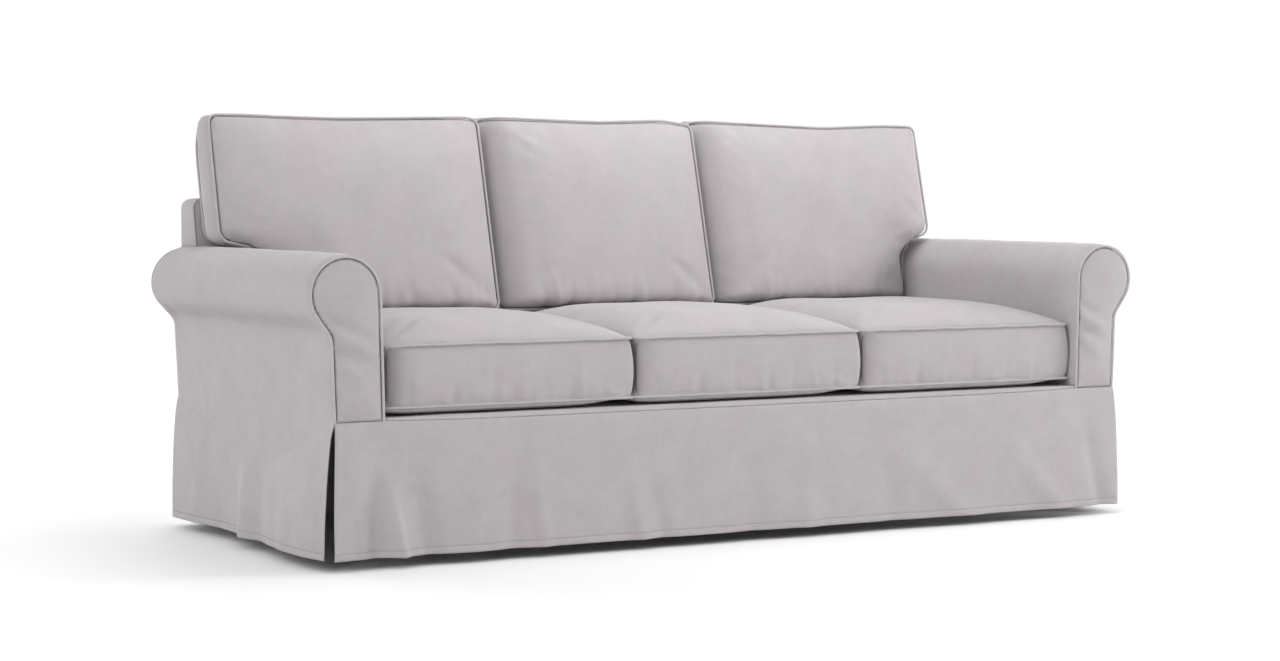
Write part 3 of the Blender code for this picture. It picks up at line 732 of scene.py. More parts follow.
SKIRT_HALF = 1.0035
SKIRT_OUT = 0.001  # in front of the arm fronts
SKIRT_FLARE = (0.008, 0.024)  # at its left and its right edge
SKIRT_CORNER = 0.009  # how far the skirt's left edge swings out at the hem
SKIRT_HEM_ROWS = [0.0185, 0.0167, 0.0155, 0.0145, 0.0135, 0.0123, 0.0095, 0.0045, 0.0]


def rising(level, rows):
    """Creases that start at this height: where across they start and end, the end's height, and so on."""
    return [(start, level, *rest) for start, *rest in rows]


SKIRT_FOLDS = [(-0.990, 0.020, -0.915, 0.270, 0.020, 0.0100)] + rising(0.0, [
    (-0.912, -0.918, 0.190, 0.018, -0.0120),
    (-0.860, -0.900, 0.210, 0.015, 0.0210),
    (-0.795, -0.845, 0.235, 0.028, -0.0130),
    (-0.690, -0.660, 0.200, 0.040, 0.0050),
    (-0.605, -0.590, 0.240, 0.028, -0.0090),
    (-0.535, -0.560, 0.240, 0.016, 0.0070),
    (-0.298, -0.330, 0.160, 0.018, 0.0095),
    (-0.240, -0.290, 0.180, 0.020, -0.0070),
    (-0.020, -0.030, 0.200, 0.035, -0.0085),
    (0.125, 0.130, 0.230, 0.025, 0.0090),
    (0.360, 0.300, 0.230, 0.035, -0.0070),
    (0.570, 0.280, 0.210, 0.035, 0.0095),
    (0.830, 0.640, 0.210, 0.030, 0.0085),
    (0.960, 0.890, 0.270, 0.022, -0.0110),
])

skirt_x = np.linspace(-SKIRT_HALF, SKIRT_HALF, 321)
skirt_top = seam_height(skirt_x) - GAP
heights = np.array([1.0, 0.994, *np.linspace(0.98, 0.0, 38)])[:, None] * skirt_top
heights = heights[heights.mean(axis=1) > 0.020]
heights = np.vstack([heights, np.repeat([SKIRT_HEM_ROWS], len(skirt_x), axis=0).T])[::-1]
skirt_share = heights / skirt_top
flare = np.interp(skirt_x, (-SKIRT_HALF, SKIRT_HALF), SKIRT_FLARE)
out = SKIRT_OUT + flare * hang(1 - skirt_share) + creases(SKIRT_FOLDS, skirt_x[None, :], heights)
out += 0.0008 * ripple(skirt_x[None, :], heights, 0.16, 51) * np.clip((1 - skirt_share) * 6, 0, 1)
out += 0.0005 * ripple(skirt_x[None, :], heights * 0.3, 0.03, 52) * np.exp(-(1 - skirt_share) / 0.12)
out += hem_band(heights)
swing = SKIRT_CORNER * (1 - skirt_share) * np.clip(-(skirt_x + 0.75) / 0.25, 0, 1) ** 2
skirt_grid = np.stack([skirt_x - swing, -out, heights], axis=2)
front_skirt = cloth_sheet("front_skirt_cloth", skirt_grid)
# Painted shade along the top seam, where the skirt runs under the arm fronts
paint_seam_shade(front_skirt, np.interp(skirt_share, (0.990, 1.0), (0.0, 0.7)) * (np.abs(skirt_x) > SEAT_HALF))
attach(front_skirt, "root")
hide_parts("front_skirt")


# INSIDE BACK, BACK BORDER AND OUTSIDE BACK
# The back's front panel behind the cushions, a strip round its edge, and one large panel behind with an
# ear over each roll's end. The last hangs to the hem and is flared like the skirt.

BACK_TOP = 0.726
BACK_HALF = 1.000
BACK_CORNER = 0.022
BACK_FRONT = 0.7955  # depth of the inside back's face at the height below
BACK_FRONT_HEIGHT = 0.7214
BACK_SLOPE = 0.20
ROLL_CLEAR = 0.0022  # between the back's panels and the rolls' cloth
BACK_FLARE = 0.014
REAR_HEM_DROP = 0.0235  # brings it down to the floor
SIDE_CROWDING = 0.86  # of a quarter turn: the higher, the closer its points stand at its sides
BACK_FOLDS = rising(0.0, [
    (-0.620, -0.600, 0.240, 0.050, -0.0080),
    (-0.210, -0.230, 0.200, 0.040, 0.0070),
    (0.280, 0.260, 0.220, 0.050, -0.0070),
    (0.700, 0.730, 0.240, 0.045, 0.0070),
])


def back_face(z):
    """Depth of the inside back's face."""
    return BACK_FRONT - (BACK_FRONT_HEIGHT - z) * BACK_SLOPE


def shoulder(z):
    """Half width of the back's outline at this height, round its top corner."""
    rise = np.clip((z - BACK_TOP + BACK_CORNER) / BACK_CORNER, 0.0, 1.0)
    return BACK_HALF - BACK_CORNER * (1 - np.sqrt(1 - rise**2))


def beside_arm(y, z):
    """Half width of the inside back between the arms: their seat sides, and higher up their rolls."""
    rise = max(z - ROLL_CENTRE, 0.0) / (ROLL_RADIUS + ROLL_CLEAR)
    half = roll_half(y)
    along_roll = ROLL_INNER + half - (half + ROLL_CLEAR) * math.sqrt(max(1 - rise * rise, 0.0))
    along_side = SEAT_HALF + (ROLL_INNER - SEAT_HALF) * (z - SEAM) / (ROLL_CENTRE - SEAM) - 2 * GAP
    return min(along_side, along_roll) if z < ROLL_CENTRE else along_roll


roll_top = ROLL_CENTRE + ROLL_RADIUS + ROLL_CLEAR
top_levels = BACK_TOP - BACK_CORNER * (1 - np.sin(np.linspace(0, math.pi / 2, 8)))
levels = np.concatenate([np.linspace(DECK_TOP + 0.001, roll_top - 0.0005, 34), [roll_top],
                         np.linspace(roll_top + 0.01, top_levels[0], 9), top_levels[1:]])
inside_places = np.array([-1, -0.997, -0.994, *np.linspace(-0.985, 0.985, 58), 0.994, 0.997, 1])
inside_rows = []
for z in levels:
    y = back_face(z)
    half = beside_arm(y, z) if z < roll_top else shoulder(z)
    inside_rows.append([(half * across, y, z) for across in inside_places])
inside_back = cloth_sheet("inside_back_cloth", np.array(inside_rows))
# Painted shade at its side edges, along the seams to the border
paint_seam_shade(inside_back, np.tile(np.interp(np.abs(inside_places), (0.994, 1.0), (0.0, 1.0)), len(inside_rows)))
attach(inside_back, "root")
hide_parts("inside_back")

right_side = [(BACK_HALF, z) for z in np.linspace(roll_top, top_levels[0], 16)]
right_side += [(float(shoulder(z)), z) for z in top_levels[1:]]
top_line = [(x, BACK_TOP) for x in np.linspace(BACK_HALF - BACK_CORNER, -BACK_HALF + BACK_CORNER, 160)[1:-1]]
border_path = np.array(right_side + top_line + [(-x, z) for x, z in reversed(right_side)])
border_normals = outline_normals(border_path, False)
border_shares = [0.0, 0.03, 0.06, *np.linspace(0.1, 1.0, 11)]
border_rows = []
for share in border_shares:
    puff = 0.0016 * math.sin(math.pi * share) - 0.0032 * dip(share, 0.05)
    x, z = (border_path + border_normals * puff).T
    front = back_face(border_path[:, 1]) + CLOTH + 2 * GAP
    border_rows.append(np.stack([x, front + (REAR_EDGE - front) * share, z], axis=1))
border = cloth_sheet("back_border_cloth", np.array(border_rows), flip=True)
# Painted shade along its front seam, fading over the next row
paint_seam_shade(border, np.repeat([1.0, 0.3] + [0.0] * (len(border_shares) - 2), len(border_path)))
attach(border, "root")
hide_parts("back_border")

rear_section = arm_section(DEPTH)


def rear_half(z):
    """Half width of the outside back: the arm's outer side and its roll's ear, then the back's own side."""
    if z > roll_top:
        return float(shoulder(z))
    outer = rear_section[np.argmax(rear_section[:, 0]):]
    if z < outer[0, 1]:
        order = np.argsort(outer[:, 1])
        return float(np.interp(z, outer[order, 1], outer[order, 0]))
    rise = min((z - ROLL_CENTRE) / (ROLL_RADIUS + ROLL_CLEAR), 1.0)
    return max(ROLL_INNER + roll_half(DEPTH) * (1 + math.sqrt(1 - rise * rise)), BACK_HALF)


outside_rows = []
crowding = math.pi / 2 * SIDE_CROWDING
places = np.sin(np.linspace(-1, 1, 170) * crowding) / math.sin(crowding)
from_edge = 1 - np.abs(places)
for z in np.concatenate([hem_heights(SEAM, 0.011)[::-1], np.linspace(SEAM, roll_top, 46)[1:],
                         np.linspace(roll_top + 0.006, top_levels[0], 10), top_levels[1:]]):
    x = rear_half(z) * places
    away = BACK_FLARE * hang(1 - z / SEAM) + creases(BACK_FOLDS, x, z) + hem_band(z)
    away += 0.0012 * ripple(x, z, 0.30, 61) * np.clip(from_edge * 9, 0, 1)
    drop = REAR_HEM_DROP * max(1 - z / SEAM, 0.0) * np.clip(from_edge * 7, 0, 1)
    outside_rows.append(np.stack([x, DEPTH + away, z - drop], axis=1))
outside_grid = np.array(outside_rows)
outside_back = cloth_sheet("outside_back_cloth", outside_grid, flip=True)
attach(outside_back, "root")
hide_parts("outside_back")


# HEM STITCHES
# One line of lockstitch in a slightly darker thread, a finger's width above the hem, all round the skirt
# but for the corners' slits.

STITCH_LENGTH = 0.0030
STITCH_STEP = 0.0042
STITCH_PROUD = 0.6  # of the thread's radius, over the cloth
THREAD = 0.00035
THREAD_TONE = (0.28, 0.265, 0.27)
THREAD_SHADE = 0.8
THREAD_ROUGHNESS = 0.75


def stitch_nodes():
    """Stitches at even steps along a path, each a short thread that lies along it."""
    tree, given = new_nodes("Stitches", {
        "Step": "Float", "Length": "Float", "Thread radius": "Float", "Thread": "Material"})
    steps = add_node(tree, "GeometryNodeResampleCurve", mode="LENGTH")
    feed(steps, {"Curve": given["Path"], "Length": given["Step"]})
    thread = add_node(tree, "GeometryNodeMeshCylinder", {
        "Vertices": 5, "Radius": given["Thread radius"], "Depth": given["Length"]})
    tangent = add_node(tree, "GeometryNodeInputTangent").outputs["Tangent"]
    turn = add_node(tree, "FunctionNodeAlignRotationToVector", {"Vector": tangent}, axis="Z")
    laid = add_node(tree, "GeometryNodeInstanceOnPoints", {
        "Points": steps.outputs["Curve"], "Instance": thread.outputs["Mesh"],
        "Rotation": turn.outputs["Rotation"]})
    return finish_nodes(tree, laid.outputs["Instances"], given["Thread"])


def stitch_line(grid, flip):
    """A line of points just proud of a cloth, at the height of the hem's stitches."""
    points = []
    for strip in (grid + grid_normals(grid, flip) * THREAD * STITCH_PROUD).transpose(1, 0, 2):
        strip = strip[np.argsort(strip[:, 2])]
        low = strip[strip[:, 2] < 0.06]
        points.append([np.interp(low[0, 2] + HEM_STITCH, low[:, 2], low[:, k]) for k in (0, 1, 2)])
    return np.array(points)


sewing_thread = bpy.data.materials.new("sewing_thread")
sewing_thread.use_nodes = True
thread_tree = sewing_thread.node_tree
thread_place = add_node(thread_tree, "ShaderNodeTexCoord").outputs["Object"]
thread_noise = add_node(thread_tree, "ShaderNodeTexNoise", {"Scale": 900.0, "Vector": thread_place})
thread_tones = add_node(thread_tree, "ShaderNodeValToRGB", {"Fac": thread_noise.outputs["Fac"]})
for stop, share in zip(thread_tones.color_ramp.elements, (THREAD_SHADE, 1.0)):
    stop.color = (*(share * part for part in THREAD_TONE), 1.0)
feed(thread_tree.nodes["Principled BSDF"], {
    "Roughness": THREAD_ROUGHNESS, "Base Color": thread_tones.outputs["Color"]})
stitching = stitch_nodes()

hem_lines = {"front": stitch_line(skirt_grid, False), "rear": stitch_line(outside_grid, True)}
for name, side in SIDES.items():
    below_seam = arm_grids[name][:, upper_count - 1:]
    hem_lines[name] = stitch_line(below_seam.transpose(1, 0, 2), side > 0)
for name, line in hem_lines.items():
    stitches = along_path(f"hem_stitches_{name}", line[1:-1], False, stitching, {
        "Step": STITCH_STEP, "Length": STITCH_LENGTH, "Thread radius": THREAD, "Thread": sewing_thread})
    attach(stitches, "root")


# SEAT CUSHIONS
# Three boxed cushions, foam in a soft wrap, with a welt at the top and the bottom seam. The filling
# swells the panels, presses each box on its right-hand neighbour and puckers the seams.

SEAT_CENTRES = {"left": -0.595, "middle": -0.004, "right": 0.587}
SEAT_WIDTH = 0.577
# How far each is filled out past the plain one's left and right
SEAT_FILLED_OUT = {"left": (0.0, 0.006), "middle": (0.002, 0.006), "right": (0.002, 0.013)}
SEAT_LEAN = 0.006  # how far the bottom seam's right end stands out past the top one's
SEAT_FRONT = 0.025
SEAT_BACK = 0.703
SEAT_LOW_SEAM = 0.303
SEAT_FOOT = 0.290  # the belly's roll under the bottom welt reaches down to here
SEAT_TOP_SEAM = 0.4275
SEAT_CORNER = 0.018
SEAT_CROWN = 0.0498
SEAT_FULLNESS = (4.2, 3.2, 4.2)  # across, to the front and to the rear: the higher, the squarer
SEAT_BOX_ROWS = 22
SEAT_PRESSED_OUT = 0.007  # the box's bulge on its right
SEAT_FRONT_OUT = 0.005
SEAT_DRAWN_IN = 0.028  # on its left
SEAT_TURNED_IN = 0.030  # at its front's left end, over as long a way
SEAT_BELLY_LIFT = 0.008
CROWN_EDGE = 0.45  # below 1, the crown rises steeply at the welt
CUSHION_PITCH = 0.010
OUTLINE_PITCH = 0.004
FILL_FRAMES = 20
FILLING = {  # how the cloth gives while the filling swells it
    "quality": 5, "mass": 0.2, "tension_stiffness": 12.0, "compression_stiffness": 12.0,
    "shear_stiffness": 4.0, "bending_stiffness": 1.0, "vertex_group_mass": "Seams",
    "shrink_min": 0.004, "shrink_max": 0.004, "use_pressure": True, "uniform_pressure_force": 4.0,
}
SEAT_SWELL = 0.005  # the most that the filling moves a point
SEAT_WELT = (0.65, 0.56)  # how far out and up from its seam a cord lies, in its radius
CUSHION_TONE = (0.450, 0.421, 0.430)
CUSHION_SHADE = (0.407, 0.380, 0.389)

BOX_CREASES = rising(SEAT_LOW_SEAM, [
    # The left cushion's
    (-0.826, -0.822, 0.400, 0.009, -0.0033), (-0.745, -0.750, 0.350, 0.008, 0.0027),
    (-0.723, -0.728, 0.365, 0.008, -0.0039), (-0.690, -0.694, 0.350, 0.007, -0.0024),
    (-0.632, -0.634, 0.410, 0.010, -0.0039), (-0.612, -0.612, 0.352, 0.006, 0.0036),
    (-0.586, -0.588, 0.350, 0.007, -0.0039), (-0.565, -0.560, 0.372, 0.007, 0.0033),
    (-0.510, -0.520, 0.380, 0.012, -0.0030), (-0.446, -0.444, 0.400, 0.010, -0.0039),
    (-0.425, -0.424, 0.415, 0.008, 0.0033), (-0.370, -0.372, 0.360, 0.009, -0.0027),
    # The middle one's
    (-0.240, -0.236, 0.380, 0.010, -0.0027), (-0.150, -0.156, 0.360, 0.008, 0.0027),
    (-0.128, -0.132, 0.372, 0.008, -0.0033), (-0.040, -0.044, 0.390, 0.010, -0.0033),
    (0.030, 0.028, 0.360, 0.007, 0.0030), (0.052, 0.046, 0.375, 0.008, -0.0036),
    (0.110, 0.112, 0.395, 0.009, -0.0033), (0.170, 0.160, 0.365, 0.007, 0.0027),
    (0.222, 0.220, 0.380, 0.010, -0.0030),
    # The right one's
    (0.350, 0.352, 0.380, 0.010, -0.0027), (0.430, 0.424, 0.360, 0.008, 0.0024),
    (0.455, 0.452, 0.385, 0.009, -0.0033), (0.540, 0.542, 0.370, 0.008, -0.0027),
    (0.610, 0.604, 0.390, 0.010, -0.0033), (0.665, 0.662, 0.360, 0.007, 0.0027),
    (0.700, 0.706, 0.380, 0.009, -0.0030), (0.790, 0.786, 0.395, 0.010, -0.0030),
])


def rounded_outline(corners):
    """A closed outline through corners (across, up, radius), as even points."""
    arcs = []
    for i, (x, y, radius) in enumerate(corners):
        here = np.array([x, y])
        before = np.array(corners[i - 1][:2]) - here
        after = np.array(corners[(i + 1) % len(corners)][:2]) - here
        before, after = before / np.linalg.norm(before), after / np.linalg.norm(after)
        reach = radius / math.tan(math.acos(np.clip(before @ after, -1, 1)) / 2)
        start, end = here + before * reach, here + after * reach
        arcs += [(1 - t) ** 2 * start + 2 * t * (1 - t) * here + t**2 * end for t in np.linspace(0, 1, 9)]
    path = np.array(arcs + [arcs[0]])
    along = way_along(path)
    places = np.linspace(0.0, along[-1], round(along[-1] / OUTLINE_PITCH), endpoint=False)
    return np.stack([np.interp(places, along, path[:, k]) for k in (0, 1)], axis=1)


def dome(across, along, fullness):
    """Height of a crown, from 1 at the middle to 0 at the seams, which lie at -1 and 1."""
    power = np.where(along > 0, fullness[2], fullness[1])
    side = 1 - np.clip(np.abs(across), 0, 1) ** fullness[0]
    return (side * (1 - np.clip(np.abs(along), 0, 1) ** power)) ** CROWN_EDGE


def boxed_cushion(name, outline, rows, top, low, box_out, place):
    """A closed boxed cushion. top and low give the panels' height over the box's edges, box_out how far
    the box stands out at a share of the way down, and place turns (across, along, that share, height)
    into a point."""
    points, faces, loop = panel_grid(outline, CUSHION_PITCH)
    x, y = points.T
    count, edge_count = len(points), len(loop)
    edge = points[loop]
    outward = outline_normals(edge, True)
    if ((edge - points.mean(axis=0)) * outward).sum() < 0:
        outward = -outward
    layers = [place(x, y, np.zeros(count), top(x, y)), place(x, y, np.ones(count), -low(x, y))]
    for share in np.linspace(0.0, 1.0, rows + 1)[1:-1]:
        moved = edge + outward * box_out(edge, outward, share)[:, None]
        layers.append(place(*moved.T, np.full(edge_count, share), np.zeros(edge_count)))
    every = np.vstack(layers)
    between = [2 * count + k * edge_count + np.arange(edge_count) for k in range(rows - 1)]
    rings = np.array([loop, *between, loop + count])
    sides = [np.stack([a, b, np.roll(b, -1), np.roll(a, -1)], axis=1) for a, b in zip(rings, rings[1:])]
    quads = np.vstack([faces, faces[:, ::-1] + count] + sides)
    flat = np.zeros((len(every), 2))
    flat[:count] = points
    flat[count:2 * count] = points + [1.3, 0.7]
    cushion = cloth_object(name, every, quads, flat, cushion_cloth)
    mesh = cushion.data
    work = bmesh.new()
    work.from_mesh(mesh)
    bmesh.ops.recalc_face_normals(work, faces=work.faces)
    work.to_mesh(mesh)
    work.free()
    seams = np.concatenate([loop, loop + count])
    cushion["seams"] = seams.tolist()
    # Painted shade along the top and bottom seams
    paint_seam_shade(cushion, np.isin(np.arange(len(every)), seams))
    # The box's cloth is laid out by itself, because its edge points also belong to the panels
    ring_of, step_of = np.zeros(len(every), int), np.zeros(len(every), int)
    for k, ring in enumerate(rings):
        ring_of[ring], step_of[ring] = k, np.arange(edge_count)
    first = 4 * 2 * len(faces)
    box_points = corner_points(mesh)[first:]
    around = way_along(np.vstack([edge, edge[:1]]))
    u = around[step_of[box_points]]
    closing = np.repeat(np.arange(rows * edge_count) % edge_count == edge_count - 1, 4)
    u += around[-1] * (closing & (u < around[-1] / 2))
    box_height = np.linalg.norm(every[loop[0]] - every[loop[0] + count])
    layer = mesh.uv_layers["Cloth"].data
    places = read(layer, "uv", 2)
    places[first:] = np.stack([u, -box_height * ring_of[box_points] / rows], axis=1)
    write(layer, "uv", places)
    return cushion


def fill(cushions, swell):
    """Swells the cushions with a cloth simulation, their seams held, and keeps the result."""
    for cushion in cushions:
        cushion.vertex_groups.new(name="Seams").add(list(cushion["seams"]), 1.0, "REPLACE")
        cloth = cushion.modifiers.new("Filling", "CLOTH")
        for setting, value in FILLING.items():
            setattr(cloth.settings, setting, value)
        cloth.settings.effector_weights.gravity = 0.0
        cloth.collision_settings.use_collision = False
        cloth.point_cache.frame_start = 1
        cloth.point_cache.frame_end = FILL_FRAMES
    for step in range(1, FILL_FRAMES + 1):
        scene.frame_set(step)
    graph = bpy.context.evaluated_depsgraph_get()
    for cushion in cushions:
        start = read(cushion.data.vertices, "co")
        moved = read(cushion.evaluated_get(graph).data.vertices, "co") - start
        far = np.linalg.norm(moved, axis=1, keepdims=True)
        moved *= swell * np.tanh(far / swell) / np.maximum(far, 1e-9)
        cushion.modifiers.remove(cushion.modifiers["Filling"])
        write(cushion.data.vertices, "co", start + moved)
        cushion.data.update()
    scene.frame_set(1)


def refine(cushion):
    """One subdivision, applied."""
    finer = cushion.modifiers.new("Finer", "SUBSURF")
    finer.levels = 1
    finer.render_levels = 1
    bpy.context.view_layer.update()
    graph = bpy.context.evaluated_depsgraph_get()
    mesh = bpy.data.meshes.new_from_object(cushion.evaluated_get(graph), depsgraph=graph)
    cushion.modifiers.clear()
    old = cushion.data
    cushion.data = mesh
    bpy.data.meshes.remove(old)
    cushion.vertex_groups.clear()
    del cushion["seams"]
    # The painted seam shade keeps close to the seam
    seam_shading = mesh.attributes["Fold"].data
    write(seam_shading, "value", np.clip(2 * read(seam_shading, "value", 1) - 1, 0, 1))


def press(cushion, field, lowest=0.0):
    """Moves each point of a cushion along its normal by what field gives for its place, and keeps it at
    or above the lowest height."""
    points = read(cushion.data.vertices, "co") - np.array(datum)
    points += read(cushion.data.vertices, "normal") * field(*points.T)[:, None]
    points[:, 2] = np.maximum(points[:, 2], lowest)
    write(cushion.data.vertices, "co", points + np.array(datum))
    cushion.data.update()


cushion_cloth = woven_cloth("cushion_cloth", CUSHION_TONE, CUSHION_SHADE)
seat_half, seat_middle = SEAT_WIDTH / 2, (SEAT_FRONT + SEAT_BACK) / 2
welt_share = (SEAT_TOP_SEAM - SEAT_LOW_SEAM) / (SEAT_TOP_SEAM - SEAT_FOOT)  # the bottom welt's place
seat_outline = rounded_outline([(-seat_half, SEAT_FRONT, SEAT_CORNER), (seat_half, SEAT_FRONT, SEAT_CORNER),
                                (seat_half, SEAT_BACK, SEAT_CORNER), (-seat_half, SEAT_BACK, SEAT_CORNER)])
seat_normals = outline_normals(seat_outline, True)


def seat_top(x, y):
    """The crown over the top seam."""
    along = 2 * (y - seat_middle) / (SEAT_BACK - SEAT_FRONT)
    return SEAT_CROWN * dome(x / seat_half, along, SEAT_FULLNESS)


def corner_lift(x):
    """How far the belly is lifted off the deck, 0 to 1: most at the right, where the foam is firm."""
    return dip(seat_half - x, 0.07) + 0.25 * dip(seat_half + x, 0.03)


def seat_low(x, y):
    """The belly's slow fall to the deck behind its roll."""
    rim = np.minimum(seat_half - np.abs(x), np.minimum(y - SEAT_FRONT, SEAT_BACK - y))
    lift = SEAT_BELLY_LIFT * corner_lift(x) * np.clip(1 - rim / 0.08, 0, 1)
    return 0.0055 * np.clip(rim / 0.02, 0, 1) - lift


def seat_box(edge, outward, share):
    """Out on the right, where it presses on its neighbour, in on the left and a little out in front,
    where its left end turns in. Under the bottom welt it rolls in to the deck."""
    right, left, front = (np.maximum(part, 0) for part in (outward[:, 0], -outward[:, 0], -outward[:, 1]))
    down = min(share / welt_share, 1.0)
    bulge = 4 * down * (1 - down)
    turned_in = dip(edge[:, 0] + seat_half, SEAT_TURNED_IN) * front
    rolled = max(share - welt_share, 0.0) / (1 - welt_share)
    belly = 0.0030 * math.sin(math.pi * min(rolled * 1.1, 1.0)) - 0.003 * rolled**3
    drawn_in = SEAT_DRAWN_IN * left + SEAT_TURNED_IN * turned_in
    return (SEAT_PRESSED_OUT * right + SEAT_FRONT_OUT * front) * bulge - drawn_in * bulge**0.45 + belly


def seat_place(x, y, share, height):
    """A seat cushion's point, before it is moved to its seat."""
    rolled = np.clip((share - welt_share) / (1 - welt_share), 0, 1)
    lifted = rolled * corner_lift(x)
    z = SEAT_TOP_SEAM + (SEAT_FOOT - SEAT_TOP_SEAM) * share + height + SEAT_BELLY_LIFT * lifted
    lean = SEAT_LEAN * np.minimum(share, welt_share) * np.clip(x / seat_half, 0, 1) ** 3
    return np.stack([x + lean - 0.006 * lifted, y + 0 * x, z], axis=1)


seats = {}  # each cushion, its middle, and its width as a share of the plain one's
for name, (left, right) in SEAT_FILLED_OUT.items():
    cushion = boxed_cushion(f"seat_cushion_{name}_cloth", seat_outline, SEAT_BOX_ROWS, seat_top, seat_low,
                            seat_box, seat_place)
    centre = SEAT_CENTRES[name] + (right - left) / 2
    stretch = (SEAT_WIDTH + left + right) / SEAT_WIDTH
    cushion.data.transform(Matrix.Translation((centre, 0, 0)) @ Matrix.Diagonal((stretch, 1, 1, 1)))
    seats[name] = (cushion, centre, stretch)
fill([cushion for cushion, _, _ in seats.values()], SEAT_SWELL)

for number, (name, (cushion, centre, stretch)) in enumerate(seats.items()):

    def seat_field(x, y, z):
        """Creases of the box, puckers along the seams, an uneven crown, and a dent beside each welt."""
        from_top, from_low = np.abs(z - SEAT_TOP_SEAM), np.abs(z - SEAT_LOW_SEAM)
        in_box = (z < SEAT_TOP_SEAM - 0.001) & (z > SEAT_LOW_SEAM + 0.001)
        front = (y < SEAT_FRONT + 0.03) & in_box
        field = creases(BOX_CREASES, x, z) * front * np.clip(from_low / 0.006, 0, 1)
        pucker = ripple(x + y, 0 * x, 0.030, 71 + number)
        field += 0.0009 * pucker * np.exp(-from_low / 0.022) * in_box * np.clip(from_low / 0.004, 0, 1)
        edge_y = np.minimum(y - SEAT_FRONT, SEAT_BACK - y)
        rim = np.minimum(seat_half * stretch - np.abs(x - centre), edge_y)
        on_top = z > SEAT_TOP_SEAM + 0.001
        field += 0.0003 * pucker * np.exp(-rim / 0.020) * on_top * np.clip(rim / 0.005, 0, 1)
        field += 0.0014 * ripple(x, y, 0.24, 81 + number) * on_top * np.clip(rim / 0.06, 0, 1)
        field -= 0.0020 * (dip(from_top, 0.006) + dip(from_low, 0.006)) * in_box
        belly = dip(z - SEAT_LOW_SEAM + 0.007, 0.005) * (np.abs(edge_y) < 0.03)
        return field + 0.0012 * pucker * belly

    refine(cushion)
    press(cushion, seat_field, DECK_TOP + 0.0004)
    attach(cushion, "root")
    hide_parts(f"seat_cushion_{name}")
    out, up = SEAT_WELT
    for level, lift, seed in (("top", 1, 91), ("bottom", -1, 95)):
        wave = 0.0007 * ripple(np.arange(len(seat_outline)) * OUTLINE_PITCH, 0.0, 0.06, seed + number)
        edge = seat_place(*seat_outline.T, welt_share * (lift < 0), 0.0)
        cord = np.stack([edge[:, 0] * stretch + centre + seat_normals[:, 0] * (out * WELT),
                         edge[:, 1] + seat_normals[:, 1] * (out * WELT),
                         edge[:, 2] + lift * up * WELT + wave * (lift > 0)], axis=1)
        sew_welt(f"seat_welt_{level}_{name}", cord, True)


# BACK CUSHIONS
# Three boxed cushions of loose fibre that lean on the back, the outer two notched to reach out over the
# arms. Their faces bulge, fall in soft wrinkles towards the seat, and their top edges are uneven.

CUSHION_LOW = 0.467
CUSHION_TOP = 0.909
CUSHION_FOOT = 0.644  # depth of the front seam's foot
CUSHION_SLOPE = 0.2568  # how far it leans back for its rise
CUSHION_THICK = 0.078
CUSHION_CROWN = 0.052
REAR_CROWN = 0.006
LOW_CORNER = 0.022
TOP_CORNER = 0.018
BACK_BULGE = 0.003  # of the box
EAR_BULGE = {"left": 0.010, "middle": 0.0, "right": 0.001}  # more of it at the outer end
EAR_SAG = 0.004  # and under an ear
BESIDE_ARM_IN = 0.010
BACK_SWELL = 0.004
BACK_FULLNESS = (3.2, 3.2, 2.6)
BACK_BOX_ROWS = 9
FOOT_ROLL = 0.12  # share of the half height over which the face rolls in to its bottom seam
# How far the front sits back at the left and at the right
EDGE_TUCK = {"left": (0.0, 0.0), "middle": (0.040, 0.0), "right": (0.040, 0.046)}
EDGE_TUCK_REACH = (0.034, 0.045)
BODY_FILL = 0.017  # how much nearer to the arm the right cushion's body reaches
EAR_END = {"left": 0.007, "middle": 0.0, "right": -0.009}  # how far the ear reaches past the plain one
REAR_END = {"left": 0.004, "middle": 0.0, "right": -0.020}  # the same of its rear seam, past the front one
REAR_CORNER = 0.026  # how far its top corners are drawn in and down at the rear seam
EAR_TURN = 0.016  # how far the right ear's underside turns up to its rear seam
EAR_OUT = 0.970
EAR_UNDER = 0.63  # below this height there is no ear
NOTCH = [(0.864, CUSHION_LOW, LOW_CORNER), (0.893, 0.618, 0.030), (EAR_OUT, 0.636, 0.030)]
BODY_OUT = 0.873
EAR_BLEND = (0.585, 0.665)
CUSHION_WELT = (0.80, 0.69)  # the same of a back cushion's, out and away from the box
# How much painted shade the front welts' cords get; the rear welts get none
FRONT_WELT_SHADE = 0.65
TOP_EDGES = {  # across, and how far the top seam there is above (or below) the rest
    "left": [(-0.970, 0.008), (-0.900, 0.008), (-0.800, 0.004), (-0.660, 0.001), (-0.400, 0.005),
             (-0.330, 0.006), (-0.306, -0.001)],
    "middle": [(-0.293, 0.000), (-0.260, 0.006), (0.020, -0.001), (0.200, 0.005), (0.260, -0.003),
               (0.285, -0.006)],
    "right": [(0.298, 0.000), (0.320, 0.005), (0.400, 0.002), (0.680, -0.006), (0.860, 0.003),
              (0.970, 0.002)],
}
